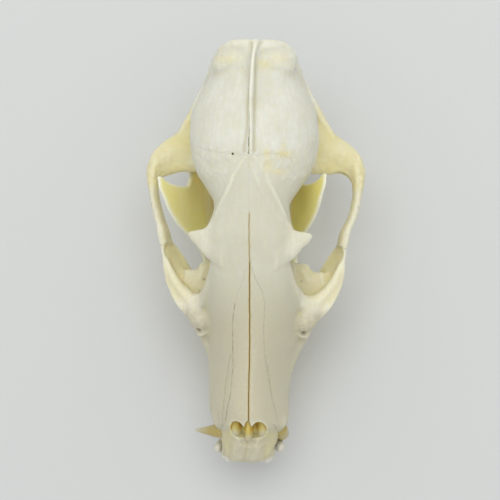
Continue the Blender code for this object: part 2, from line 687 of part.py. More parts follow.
def flipped(form):
    """The form moved to the right side."""
    for vertex in form.verts:
        vertex.co.x = -vertex.co.x
    bmesh.ops.reverse_faces(form, faces=form.faces)
    return form


def material(name, colour):
    """Dry bone, matt and without metal."""
    made = bpy.data.materials.new(name)
    made.use_nodes = True
    shader = made.node_tree.nodes["Principled BSDF"]
    shader.inputs["Base Color"].default_value = colour
    shader.inputs["Roughness"].default_value = BONE_ROUGHNESS
    shader.inputs["Metallic"].default_value = 0.0
    return made


def collection(name, parent, is_cutter=False):
    """A collection, hidden from the render where it holds cutters."""
    made = bpy.data.collections.new(name)
    made.hide_render = is_cutter
    parent.children.link(made)
    return made


def spread(forms, name, others):
    """Each form as an object of its own, in the collection that a Boolean takes."""
    for number, form in enumerate(forms):
        made = object_of(f"{name}_{number}", [form], others)
        made.hide_render = True
        made.display_type = "WIRE"


def cranium(parts, cutters):
    """The cranium with its upper teeth."""
    both_sides = [
        barred(SOCKET_RIDGE, 40, 20),
        barred(CHEEK_ARCH, 60, 24),
        barred(ARCH_POINT, 16, 14),
        slabbed(JOINT_SHELF, 24, 28),
        slabbed(BROW_POINT, 20, 24),
        barred(SIDE_RIDGE, 24, 14),
        barred(NECK_CREST, 40, 16),
        barred(WING_PLATE, 24, 16),
        barred(EAR_SPUR, 16, 14),
        barred(JOINT_LIP, 14, 14),
        barred(SOCKET_RIM, 32, 16),
        slabbed(SOCKET_FLOOR, 20, 24),
        barred(BROW_RIDGE, 30, 12),
        balled(CHEEK_ROOT),
        balled(REAR_LOBE),
        balled(CANINE_SOCKET),
        balled(EAR_CAPSULE),
        balled(EAR_TUBE),
        balled(NECK_KNUCKLE),
    ]
    forms = [mirrored(form) for form in both_sides]
    forms += [sectioned(CRANIUM_SECTIONS, 130, 64), barred(TOP_CREST, 40, 14), balled(SKULL_BASE)]
    made = fused(object_of("cranium", forms, parts), 2)

    cuts = [
        sectioned(NOSE_ENTRY, 16, 28),
        mirrored(barred(NOSE_PASSAGE, 16, 18)),
        balled(REAR_NOSE_OPENING),
        balled(NECK_OPENING),
        mirrored(balled(FACE_NERVE_HOLE, segments=16)),
        mirrored(balled(NOSE_LOBE, segments=20)),
        skewed(mirrored(balled(JAW_KNUCKLE, grow=GAP))),
    ]
    spread(cuts, "cut", cutters)
    combined(made, cutters, "DIFFERENCE")
    fused(made, 2)
    thinned(largest_only(made), CRANIUM_FACES)

    teeth = []
    for flip in (unflipped, flipped):
        teeth += [flip(cheek_tooth(tooth, GUM_HEIGHT, -1, 10, 3)) for tooth in UPPER_TEETH]
        teeth += [flip(incisor(tooth, GUM_HEIGHT, -1, 8)) for tooth in UPPER_INCISORS]
        teeth.append(flip(barred(UPPER_CORNER_INCISOR, 7, 8)))
    teeth.append(barred(UPPER_CANINE, 8, 10))
    teeth.append(barred(LOOSE_CANINE, 8, 10))
    spread(teeth, "tooth", cutters)
    combined(made, cutters, "UNION")
    return largest_only(made)


def skewed(form):
    """The form swung to the right with the jaw, about the canines."""
    for vertex in form.verts:
        vertex.co.x += JAW_SKEW * (vertex.co.y - JAW_HINGE * MM)
    return form


def bend_to_plan(made):
    """Moves the flat half jaw out from the midline, to its plan and its lean."""
    points = np.empty(len(made.data.vertices) * 3)
    made.data.vertices.foreach_get("co", points)
    points = points.reshape(-1, 3) / MM
    plan = np.array(JAW_PLAN)
    out, curve = smooth(plan[:, 0], plan[:, 1:], points[:, 1]).T
    rise = points[:, 2] - JAW_GUM_HEIGHT
    points[:, 0] += out + BODY_LEAN * rise + curve * np.maximum(rise, 0) ** 2
    made.data.vertices.foreach_set("co", (points * MM).ravel())
    made.data.update()
    return made


def half_jaw(parts, cutters):
    """The left half of the lower jaw with its teeth."""
    forms = [
        barred(JAW_BODY, 60, 24),
        plated(RAMUS_OUTLINE, RAMUS_HALF_THICKNESS, 6),
        barred(CORONOID_RIM, 30, 14),
        barred(JAW_LOWER_RIM, 24, 14),
        barred(KNUCKLE_NECK, 20, 14),
    ]
    made = fused(object_of("jaw_half", forms, parts), 3)
    bend_to_plan(made)
    spread([balled(JAW_KNUCKLE)], "knuckle", cutters)
    combined(made, cutters, "UNION")
    fused(made, 2)

    below_table = blocked((CUT_REACH, CUT_REACH, 0.0))
    past_midline = blocked((GAP / 2, CUT_REACH, CUT_REACH))
    thinned(largest_only(made), JAW_FACES)
    spread([below_table, past_midline], "trim", cutters)
    combined(made, cutters, "DIFFERENCE")

    teeth = [cheek_tooth(tooth, JAW_GUM_HEIGHT, 1, 10, 3) for tooth in LOWER_TEETH]
    teeth += [incisor(tooth, JAW_GUM_HEIGHT, 1, 8) for tooth in LOWER_INCISORS]
    teeth.append(barred(LOWER_CANINE, 8, 10))
    spread(teeth, "tooth", cutters)
    combined(made, cutters, "UNION")
    return largest_only(made)


def swung(made, name, parts, flip):
    """A half jaw of either side, swung with the jaw, as an object of its own."""
    form = bmesh.new()
    form.from_mesh(made.data)
    return object_of(name, [skewed(flip(form))], parts)


def main():
    for old in list(bpy.data.objects):
        bpy.data.objects.remove(old)
    parts = collection("raccoon_dog_skull", bpy.context.scene.collection)
    cutters = collection("cutters", bpy.context.scene.collection, is_cutter=True)
    head = cranium(parts, cutters)
    head.data.materials.append(material("cranium_bone", BONE_COLOUR))
    half = half_jaw(parts, cutters)
    left = swung(half, "jaw_left", parts, unflipped)
    right = swung(half, "jaw_right", parts, flipped)
    bpy.data.objects.remove(half)
    jaw_bone = material("jaw_bone", JAW_COLOUR)
    for side in (right, left):
        side.data.materials.append(jaw_bone)
    for made in (head, right, left):
        made.data.shade_smooth()
        made.data.set_sharp_from_angle(angle=math.radians(CREASE_ANGLE))


main()
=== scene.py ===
"""A raccoon dog's skull, cleaned and dry, lying on its jaw with the snout towards -Y and the mouth
shut. The animal's left is along +X. Sizes are in millimetres unless a name says otherwise."""

import json
import math
from collections import namedtuple

import bmesh
import bpy
import numpy as np
from mathutils import Matrix, Vector, noise

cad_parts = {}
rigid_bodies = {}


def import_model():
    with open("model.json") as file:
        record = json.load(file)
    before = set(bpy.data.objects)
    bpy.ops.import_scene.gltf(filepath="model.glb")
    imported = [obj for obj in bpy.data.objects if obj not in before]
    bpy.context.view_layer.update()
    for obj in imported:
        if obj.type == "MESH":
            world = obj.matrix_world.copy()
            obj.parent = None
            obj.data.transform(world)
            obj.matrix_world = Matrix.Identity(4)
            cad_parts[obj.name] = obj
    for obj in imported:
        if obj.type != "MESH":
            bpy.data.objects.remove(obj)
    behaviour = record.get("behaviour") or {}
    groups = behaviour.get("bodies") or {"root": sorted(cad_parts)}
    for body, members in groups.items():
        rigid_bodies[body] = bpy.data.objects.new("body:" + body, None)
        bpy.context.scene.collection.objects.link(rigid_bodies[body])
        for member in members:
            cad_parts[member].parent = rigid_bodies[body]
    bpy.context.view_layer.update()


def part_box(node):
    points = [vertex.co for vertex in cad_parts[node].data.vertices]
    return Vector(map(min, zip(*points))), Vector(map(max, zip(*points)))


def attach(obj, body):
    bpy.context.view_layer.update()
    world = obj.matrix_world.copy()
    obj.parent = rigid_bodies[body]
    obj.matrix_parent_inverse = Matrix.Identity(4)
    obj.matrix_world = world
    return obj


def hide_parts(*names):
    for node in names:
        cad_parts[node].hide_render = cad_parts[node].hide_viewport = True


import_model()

# Bone of the cranium
# One piece of dry bone: the braincase, the face, both cheekbones and the ear capsules, which have
# grown together along wavy seams. It is fused here from plain forms, then carved and stained.

MM = 0.001
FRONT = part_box("cranium")[0].y / MM
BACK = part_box("cranium")[1].y / MM
ARCH_HALF_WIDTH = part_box("cranium")[1].x / MM

# The braincase and the face: cross-sections along Y
Section = namedtuple(
    "Section", "y half_width top widest floor top_round floor_round top_taper floor_taper"
)
CRANIUM_SECTIONS = (
    Section(FRONT, 4.6, 27, 25.6, 24.4, 2.2, 2.5, 0, 0),
    Section(-61.2, 6.3, 29.2, 26.5, 23.9, 2.4, 3, 0.1, 0.05),
    Section(-58, 7.7, 31.8, 27.5, 24.2, 2.6, 3, 0.15, 0.1),
    Section(-54.5, 8.8, 34.8, 28.5, 24.6, 2.6, 3.5, 0.22, 0.1),
    Section(-51.8, 9.4, 38.8, 29, 24.8, 2.7, 3.5, 0.3, 0.1),
    Section(-49, 11.6, 43, 29, 25, 2.7, 3.5, 0.42, 0.1),
    Section(-45, 12.1, 44.6, 29.5, 25, 2.7, 4, 0.45, 0.1),
    Section(-38, 11.9, 45.8, 30, 25, 2.6, 4, 0.45, 0.1),
    Section(-31, 12.3, 47.4, 30.5, 25, 2.5, 4, 0.42, 0.1),
    Section(-24, 13.8, 49.6, 32, 25, 2.4, 4, 0.38, 0.1),
    Section(-16, 14, 52.6, 37, 25, 2.4, 3.5, 0.22, 0.18),
    Section(-10, 12.2, 55.2, 45, 25, 2.5, 3.2, 0.08, 0.25),
    Section(-1, 11.4, 58.4, 51.5, 25.4, 2.7, 3, 0, 0.32),
    Section(7, 12.4, 60.8, 53, 29, 2.5, 2.8, 0, 0.42),
    Section(15, 10.8, 61.6, 51.5, 31.5, 2.3, 2.6, 0, 0.25),
    Section(20, 13.4, 62, 48.5, 31.5, 2.2, 2.5, 0, 0.2),
    Section(25, 16.6, 62.8, 47.5, 31, 2.15, 2.4, 0, 0.2),
    Section(34, 18.8, 63.4, 46.5, 30.5, 2.1, 2.4, 0, 0.2),
    Section(41, 18.4, 62.8, 46, 30, 2.1, 2.4, 0, 0.2),
    Section(48, 15.8, 60.8, 45, 29.5, 2.1, 2.4, 0, 0.15),
    Section(54, 12.3, 59.8, 44.5, 29.5, 2.4, 2.4, 0.05, 0.1),
    Section(57.5, 11.2, 59.1, 45, 30, 2.7, 2.4, 0.1, 0.05),
    Section(59.6, 10.5, 58.5, 47.5, 36, 2.9, 2.2, 0.12, 0.05),
    Section(61, 9.2, 57.8, 51, 44, 2.8, 2, 0.08, 0),
    Section(BACK - 0.4, 6, 57, 53.5, 50, 2.4, 2, 0, 0),
)


def smooth(keys, rows, at):
    """Rows read at places along a smooth curve through the given rows, which never overshoots."""
    keys, rows, at = (np.asarray(v, float) for v in (keys, rows, at))
    step = np.diff(keys)[:, None]
    slope = np.diff(rows, axis=0) / step
    before, after = slope[:-1], slope[1:]
    same_way = before * after > 0
    total = np.where(same_way, before + after, 1.0)
    inner = np.where(same_way, 2 * before * after / total, 0.0)
    tangent = np.vstack([slope[:1], inner, slope[-1:]])
    i = np.clip(np.searchsorted(keys, at) - 1, 0, len(keys) - 2)
    t = ((at - keys[i]) / step[i, 0])[:, None]
    return (
        (2 * t**3 - 3 * t**2 + 1) * rows[i]
        + (t**3 - 2 * t**2 + t) * step[i] * tangent[i]
        + (3 * t**2 - 2 * t**3) * rows[i + 1]
        + (t**3 - t**2) * step[i] * tangent[i + 1]
    )


def loft(rings):
    """A closed mesh through rings of points, capped at both ends."""
    form = bmesh.new()
    made = [[form.verts.new(Vector(p) * MM) for p in ring] for ring in rings]
    count = len(made[0])
    for ring, following in zip(made, made[1:]):
        for i in range(count):
            j = (i + 1) % count
            form.faces.new((ring[i], ring[j], following[j], following[i]))
    form.faces.new(list(reversed(made[0])))
    form.faces.new(made[-1])
    bmesh.ops.recalc_face_normals(form, faces=form.faces)
    return form


def sectioned(sections, along, around):
    """A body along Y from cross-sections that are wide ovals above and below their widest line."""
    rows = np.array(sections)
    places = np.linspace(rows[0, 0], rows[-1, 0], along)
    rings = []
    for y, row in zip(places, smooth(rows[:, 0], rows[:, 1:], places)):
        half_width, top, widest, floor, top_round, floor_round, top_taper, floor_taper = row
        ring = []
        for k in range(around):
            angle = 2 * math.pi * k / around
            c, s = math.cos(angle), math.sin(angle)
            roundness = top_round if s >= 0 else floor_round
            taper = top_taper if s >= 0 else floor_taper
            up = abs(s) ** (2 / roundness)
            x = half_width * math.copysign(abs(c) ** (2 / roundness), c) * (1 - taper * up)
            z = widest + up * ((top - widest) if s >= 0 else (floor - widest))
            ring.append((x, y, z))
        rings.append(ring)
    return loft(rings)


# The bars and ridges: ovals along a path, some of which lean outwards by so many degrees
Bar = namedtuple("Bar", "x y z half_height half_width lean", defaults=(0,))
SOCKET_RIDGE = (
    Bar(8.6, -52.5, 27, 3.2, 2),
    Bar(10, -45.5, 27.2, 3.6, 2),
    Bar(10.5, -38, 27.4, 3.8, 1.8),
    Bar(11.4, -31, 27.6, 4, 1.9),
    Bar(14, -22, 27.9, 4.3, 3.1),
    Bar(15, -13.5, 28.2, 4.6, 4.2),
    Bar(13.2, -6.5, 28.2, 4.5, 3.6),
    Bar(10.6, -2.8, 28.2, 3, 1.5),
)
CHEEK_ARCH = (
    Bar(13.2, -22.5, 31.6, 4.7, 3.5, 22),
    Bar(15.4, -17.2, 32, 5.8, 3, 34),
    Bar(19.6, -12, 31.2, 6, 2.1, 42),
    Bar(22.8, -6, 30.4, 5.7, 1.7, 42),
    Bar(25.1, 0, 31.6, 4.7, 1.5, 33),
    Bar(26.3, 3.4, 33.1, 3.8, 1.4, 17),
    Bar(26.7, 6.6, 33.8, 3.8, 1.3, 7),
    Bar(28.8, 12, 35.2, 3.3, 1.4, 6),
    Bar(30.2, 18, 36.2, 3.1, 1.4, 6),
    Bar(30.6, 23.5, 36.4, 3, 1.8, 6),
    Bar(29.6, 28, 36, 3, 2.2, 6),
)
SOCKET_RIM = (
    Bar(26.2, 0, 34.6, 1, 1),
    Bar(25.4, -2.6, 34.6, 1.4, 1.3),
    Bar(23.7, -6.8, 34.6, 1.7, 1.6),
    Bar(21, -10.3, 35, 2, 1.8),
    Bar(17.7, -12.8, 36.2, 2.3, 2.1),
    Bar(14.8, -12.8, 39.4, 2.4, 2.1),
    Bar(12.9, -10.4, 43.6, 2.3, 2),
    Bar(11, -6.4, 48.4, 2.1, 1.9),
    Bar(9.9, -1.6, 52.6, 1.9, 1.7),
)
ARCH_POINT = (
    Bar(26.5, 2.4, 35.8, 0.7, 0.7, 12),
    Bar(26.9, 4.4, 36.2, 1.7, 1.3, 12),
    Bar(27.5, 7.2, 36.5, 1.7, 1.3, 8),
    Bar(28.5, 11, 36.6, 1.2, 1.1, 6),
)
SIDE_RIDGE = (
    Bar(24.6, 33, 35.6, 1.4, 1.3),
    Bar(20, 40.6, 37, 1.9, 1.4),
    Bar(16.6, 46.6, 39.4, 2.2, 1.4),
    Bar(13.6, 51.8, 42.6, 2.2, 1.3),
    Bar(11.8, 55.4, 47, 2, 1.2),
)
NECK_CREST = (
    Bar(-1.5, 59, 57.2, 1.7, 1.8),
    Bar(2.6, BACK - 2, 57.8, 1.7, 1.9),
    Bar(6.2, 60.2, 57, 1.6, 1.9),
    Bar(9.3, 58.7, 54.6, 1.4, 1.9),
    Bar(11, 56, 51, 1.4, 1.9),
    Bar(12.5, 52.8, 45.6, 1.5, 1.8),
    Bar(14.4, 49.6, 40, 1.7, 1.8),
    Bar(15.4, 47.4, 34.8, 1.8, 1.9),
    Bar(15, 46.8, 31.6, 1.2, 1.3),
)
TOP_CREST = (
    Bar(0, 27, 61.9, 1.2, 0.5),
    Bar(0, 33, 62.6, 2, 0.7),
    Bar(0, 40, 62.4, 2.7, 0.9),
    Bar(0, 47, 61.4, 3.4, 1.1),
    Bar(0, 54, 60, 3.4, 1.3),
    Bar(0, 60, 58.4, 2.2, 1.4),
    Bar(0, 61.4, 57.6, 1.6, 1.2),
)
BROW_RIDGE = (
    Bar(13.6, 6.6, 54.6, 1, 0.9),
    Bar(11.6, 8.2, 56, 0.9, 0.9),
    Bar(10.1, 11, 57.2, 0.8, 0.8),
    Bar(8.4, 15, 58.8, 0.8, 0.8),
    Bar(6, 20, 60.9, 0.8, 0.8),
    Bar(2.8, 26.4, 62.4, 0.7, 0.8),
    Bar(0.6, 30, 63.2, 0.6, 0.6),
)
WING_PLATE = (
    Bar(8.6, -3.5, 28, 3.4, 1.4),
    Bar(6.8, 3, 28.2, 3.8, 0.9),
    Bar(5.6, 9.5, 28.2, 4, 0.8),
    Bar(5.2, 15.5, 27.6, 4.2, 0.8),
    Bar(5.4, 19.5, 27, 3.2, 0.8),
    Bar(5.6, 21.5, 25.2, 1.1, 0.7),
)
EAR_SPUR = (
    Bar(12.6, 49.5, 33.5, 3, 2.6),
    Bar(13, 49.6, 28.5, 2, 1.8),
    Bar(13.1, 49.2, 24.2, 1.1, 1.1),
    Bar(13.1, 49, 22.6, 0.5, 0.5),
)
JOINT_LIP = (
    Bar(16.4, 33.6, 32.4, 2.6, 1.3),
    Bar(19.6, 33.6, 31.2, 3.2, 1.3),
    Bar(22.8, 33.2, 31.8, 2.6, 1.2),
)


def path_length(points):
    """How far along a path each of its points lies."""
    return np.concatenate([[0], np.cumsum(np.linalg.norm(np.diff(points, axis=0), axis=1))])


def barred(bars, along, around):
    """A bar of oval section along a curved path, leaning outwards by its lean in degrees."""
    rows = np.array(bars)
    reach = path_length(rows[:, :3])
    rows = smooth(reach, rows, np.linspace(0, reach[-1], along))
    points = rows[:, :3]
    rings = []
    for point, way, (half_height, half_width, lean) in zip(
        points, np.gradient(points, axis=0), rows[:, 3:]
    ):
        way = Vector(way).normalized()
        upright = Vector((0, 0, 1)) if abs(way.z) < 0.75 else Vector((0, -1, 0))
        side = way.cross(upright).normalized()
        up = side.cross(way).normalized()
        turn = Matrix.Rotation(math.radians(lean), 3, way)
        side, up = turn @ side, turn @ up
        ring = []
        for k in range(around):
            angle = 2 * math.pi * k / around
            out = side * (half_width * math.cos(angle)) + up * (half_height * math.sin(angle))
            ring.append(Vector(point) + out)
        rings.append(ring)
    return loft(rings)


# The plates that reach out to the sides: ovals along X
Slab = namedtuple("Slab", "x y z half_length half_thickness")
SOCKET_FLOOR = (
    Slab(7, -8.2, 29.6, 8.8, 3.4),
    Slab(12.4, -8.2, 29.8, 7.2, 3),
    Slab(14.2, -8, 30, 7, 2.9),
    Slab(16.2, -8.4, 30.4, 7, 2.6),
    Slab(17.4, -9.3, 30.7, 5.8, 2.5),
    Slab(20.8, -9, 31.2, 5.4, 2.2),
)
JOINT_SHELF = (
    Slab(11, 34.5, 38, 9.5, 4.5),
    Slab(18.5, 33.6, 36.2, 8.2, 3.4),
    Slab(23.5, 31.3, 35.4, 6.2, 2.7),
    Slab(28, 29, 35.6, 5.4, 2.6),
    Slab(30.8, 27.1, 36, 4.5, 2.7),
    Slab(ARCH_HALF_WIDTH, 25.6, 36.2, 1.8, 1.4),
)
BROW_POINT = (
    Slab(7.5, 4.2, 55.6, 8, 3.4),
    Slab(10.8, 4.3, 55, 5.6, 2.6),
    Slab(12.8, 4.5, 54.4, 4.1, 2.1),
    Slab(14.2, 5.1, 53.7, 3.1, 1.8),
    Slab(15.5, 5.8, 53, 2.2, 1.5),
    Slab(16.9, 6.3, 52.1, 1.5, 1.1),
    Slab(17.6, 6.7, 51.6, 0.8, 0.7),
    Slab(18, 6.8, 51.3, 0.4, 0.4),
)


def slabbed(slabs, along, around):
    """A plate that reaches out along X, with an oval section in the Y-Z plane."""
    rows = np.array(slabs)
    rows = smooth(rows[:, 0], rows, np.linspace(rows[0, 0], rows[-1, 0], along))
    angles = 2 * math.pi * np.arange(around) / around
    rings = []
    for x, y, z, half_length, half_thickness in rows:
        ring = [
            (x, y + half_length * math.cos(a), z + half_thickness * math.sin(a)) for a in angles
        ]
        rings.append(ring)
    return loft(rings)


# The rounded lumps, some of which are turned about Z by so many degrees
Ball = namedtuple("Ball", "x y z radius_x radius_y radius_z turn", defaults=(0,))
CHEEK_ROOT = Ball(15.4, -16.8, 34.8, 4.4, 5.4, 5.6, -30)
REAR_LOBE = Ball(5.5, 56.4, 53.2, 6.6, 5.8, 5.9, -18)
CANINE_SOCKET = Ball(8.7, -47.6, 30.4, 2.8, 4.2, 4.4)
EAR_CAPSULE = Ball(10.8, 38.2, 27.4, 5.8, 8.8, 6.2, 18)
EAR_TUBE = Ball(15.6, 40.6, 32.4, 3.4, 3, 3)
NECK_KNUCKLE = Ball(6.9, 53.6, 32.2, 3.5, 3.6, 5, -24)
SKULL_BASE = Ball(0, 50, 29, 6.5, 7, 2.4)
FUSING_GRAIN = 0.5
FILLET_ROUNDS = 26


def balled(ball, grow=0.0, segments=40):
    """An oval lump, turned about Z by its turn in degrees."""
    form = bmesh.new()
    bmesh.ops.create_uvsphere(form, u_segments=segments, v_segments=segments // 2, radius=MM)
    size = Matrix.Diagonal((ball.radius_x + grow, ball.radius_y + grow, ball.radius_z + grow, 1))
    turn = Matrix.Rotation(math.radians(ball.turn), 4, "Z")
    place = Matrix.Translation(Vector((ball.x, ball.y, ball.z)) * MM)
    bmesh.ops.transform(form, matrix=place @ turn @ size, verts=form.verts)
    return form


def flipped(form):
    """The form moved to the animal's right side."""
    for vertex in form.verts:
        vertex.co.x = -vertex.co.x
    bmesh.ops.reverse_faces(form, faces=form.faces)
    return form


def pair_of(form):
    """The form and its mirror image."""
    return [form.copy(), flipped(form)]


def piece_of(name, forms, collection=None):
    """One object that holds the given forms as shells."""
    mesh = bpy.data.meshes.new(name)
    whole = bmesh.new()
    for form in forms:
        form.to_mesh(mesh)
        form.free()
        whole.from_mesh(mesh)
    whole.to_mesh(mesh)
    whole.free()
    made = bpy.data.objects.new(name, mesh)
    (collection or bpy.context.scene.collection).objects.link(made)
    return made


def applied(piece):
    """The piece with its modifiers worked into its mesh."""
    bpy.context.view_layer.update()
    graph = bpy.context.evaluated_depsgraph_get()
    mesh = bpy.data.meshes.new_from_object(piece.evaluated_get(graph))
    piece.modifiers.clear()
    old = piece.data
    piece.data = mesh
    bpy.data.meshes.remove(old)
    return piece


def softened(piece, rounds):
    """The piece with a modifier that smooths it so many times."""
    soften = piece.modifiers.new("soften", "SMOOTH")
    soften.factor = 0.5
    soften.iterations = rounds
    return piece


def fused(piece, grain, rounds):
    """The shells of a piece fused into one skin, with the joins softened."""
    remesh = piece.modifiers.new("fuse", "REMESH")
    remesh.mode = "VOXEL"
    remesh.voxel_size = grain * MM
    return applied(softened(piece, rounds))


def surface(piece):
    """The places of a piece's points and the directions they face."""
    places, ways = np.empty((2, len(piece.data.vertices) * 3))
    piece.data.vertices.foreach_get("co", places)
    piece.data.vertices.foreach_get("normal", ways)
    return places.reshape(-1, 3) / MM, ways.reshape(-1, 3)


def moved(piece, places):
    piece.data.vertices.foreach_set("co", (places * MM).ravel())
    piece.data.update()


def filleted(piece, rounds):
    """Fills the creases where forms meet, and leaves the ridges as sharp as they are."""
    before, ways = surface(piece)
    after = surface(applied(softened(piece, rounds)))[0]
    fill = np.maximum(np.einsum("ij,ij->i", after - before, ways), 0.0)
    moved(piece, before + ways * fill[:, None])
    return piece


both_sides = [
    barred(SOCKET_RIDGE, 60, 28),
    barred(CHEEK_ARCH, 90, 36),
    barred(ARCH_POINT, 20, 18),
    slabbed(JOINT_SHELF, 36, 40),
    slabbed(BROW_POINT, 30, 32),
    barred(SIDE_RIDGE, 36, 20),
    barred(NECK_CREST, 60, 24),
    barred(WING_PLATE, 36, 20),
    barred(EAR_SPUR, 24, 20),
    barred(JOINT_LIP, 20, 20),
    barred(SOCKET_RIM, 48, 24),
    slabbed(SOCKET_FLOOR, 30, 32),
    barred(BROW_RIDGE, 50, 16),
    balled(CHEEK_ROOT),
    balled(REAR_LOBE),
    balled(CANINE_SOCKET),
    balled(EAR_CAPSULE),
    balled(EAR_TUBE),
    balled(NECK_KNUCKLE),
]
forms = [side for form in both_sides for side in pair_of(form)]
forms += [sectioned(CRANIUM_SECTIONS, 200, 96), barred(TOP_CREST, 60, 20), balled(SKULL_BASE)]
skull_bone = filleted(fused(piece_of("skull_bone", forms), FUSING_GRAIN, 2), FILLET_ROUNDS)

# The openings, carved out of the fused bone: the nose, the throat, the neck, the nerve holes of
# the face, a notch in the left shelf, and room for the jaw's knuckles, which swing to the right
NOSE_ENTRY = (
    Section(-56.5, 1.4, 42, 37, 34.6, 2.2, 2, 0, 0.2),
    Section(-54.5, 3.1, 41.9, 36.5, 33.8, 2.2, 2, 0, 0.2),
    Section(-52, 4.5, 41.9, 36, 32, 2.2, 2, 0, 0.2),
    Section(-49, 4.9, 41.9, 35.8, 30.2, 2.3, 2, 0, 0.2),
    Section(-46.5, 5.4, 42.4, 35.8, 29.8, 2.3, 2, 0.1, 0.2),
    Section(-44.5, 5.4, 42.8, 35.8, 29.6, 2.3, 2, 0.1, 0.2),
)
NOSE_PASSAGE = (
    Bar(3.1, -50, 35.2, 4.4, 1.9),
    Bar(3.4, -44, 35.6, 5.2, 2.3),
    Bar(3.5, -36, 36.2, 5.2, 2.4),
    Bar(3.4, -30, 36.6, 3.6, 1.8),
)
NOSE_LOBE = Ball(3.1, -51.4, 40, 2.3, 3.9, 6)
NOSE_LIP = Ball(0, -56.4, 37.2, 4.6, 3.8, 4.5)
NOSE_NOTCH = Ball(0.1, -50.6, 42, 1, 3.2, 4)
REAR_NOSE_OPENING = Ball(0, 4.5, 29.2, 4.3, 13, 2.7)
NECK_OPENING = Ball(0, 56.5, 36.4, 6.1, 17, 5)
FACE_NERVE_HOLE = Ball(15.2, -19, 33.2, 1.4, 4.6, 2.3, -8)
SHELF_NOTCH = Ball(24.8, 21.7, 36, 4, 4.4, 7)  # on the left side alone
JAW_KNUCKLE = Ball(20.4, 28.9, 30.4, 5.6, 2.4, 2.4, -8)
JAW_SKEW = -0.034  # to the right for each millimetre back
JAW_HINGE = -55.0
GAP = 0.3
BONE_GRAIN = 0.34
BROAD_WAVES = (7.0, 0.22)  # reach and lift
FINE_WAVES = (1.5, 0.09)


def skewed(form):
    """The form swung to the right with the jaw, about the canines."""
    for vertex in form.verts:
        x, y = vertex.co.x, vertex.co.y
        vertex.co.x = x + JAW_SKEW * (y - JAW_HINGE * MM)
        vertex.co.y = y - JAW_SKEW * x
    return form


def weathered(piece, reach, lift):
    """The slight unevenness of grown bone, with waves of about this reach and lift."""
    clouds = bpy.data.textures.new("unevenness", "CLOUDS")
    clouds.noise_scale = reach * MM
    clouds.noise_depth = 3
    uneven = piece.modifiers.new("uneven", "DISPLACE")
    uneven.texture = clouds
    uneven.texture_coords = "LOCAL"
    uneven.strength = lift * MM
    return applied(piece)


def largest_only(piece):
    """Drops every loose scrap, so that the piece is one closed surface."""
    form = bmesh.new()
    form.from_mesh(piece.data)
    left = set(form.verts)
    islands = []
    while left:
        island = [left.pop()]
        for vertex in island:
            for edge in vertex.link_edges:
                other = edge.other_vert(vertex)
                if other in left:
                    left.remove(other)
                    island.append(other)
        islands.append(island)
    islands.sort(key=len)
    bmesh.ops.delete(form, geom=[v for island in islands[:-1] for v in island], context="VERTS")
    form.to_mesh(piece.data)
    form.free()
    return piece


hollows = bpy.data.collections.new("hollows")
hollow_forms = [
    [sectioned(NOSE_ENTRY, 24, 36)],
    pair_of(barred(NOSE_PASSAGE, 24, 24)),
    [balled(REAR_NOSE_OPENING)],
    [balled(NECK_OPENING)],
    pair_of(balled(FACE_NERVE_HOLE, segments=24)),
    pair_of(balled(NOSE_LOBE, segments=28)),
    [balled(NOSE_NOTCH, segments=28)],
    [balled(NOSE_LIP)],
    [balled(SHELF_NOTCH)],
    [skewed(side) for side in pair_of(balled(JAW_KNUCKLE, grow=GAP))],
]
for number, shapes in enumerate(hollow_forms):
    piece_of(f"hollow_{number}", shapes, hollows)
carve = skull_bone.modifiers.new("carve", "BOOLEAN")
carve.operation = "DIFFERENCE"
carve.operand_type = "COLLECTION"
carve.collection = hollows
applied(skull_bone)
for hollow in list(hollows.objects):
    bpy.data.objects.remove(hollow)
bpy.data.collections.remove(hollows)
largest_only(fused(skull_bone, BONE_GRAIN, 3))
weathered(skull_bone, *BROAD_WAVES)
weathered(skull_bone, *FINE_WAVES)

# No skull is quite even: y, then how far the cranium lies to the left of the even form there
SWAY = (
    (-62.3, 0), (-50, 0), (-45, -0.5), (-41, -0.7), (-36, -0.5), (-30, 0.1), (-22, 0.5), (-14, 0.5),
    (0, 0.3), (7, 0.1), (14.5, 0.5), (22, 0.4), (33, 0.5), (45, 0.2), (55, 0.3), (59.5, 0.9),
    (62.3, 0.9),
)


def swayed(places):
    """The places moved with the cranium's uneven growth."""
    rows = np.array(SWAY)
    places[:, 0] += smooth(rows[:, 0], rows[:, 1:], np.clip(places[:, 1], FRONT, BACK))[:, 0]
    return places


moved(skull_bone, swayed(surface(skull_bone)[0]))

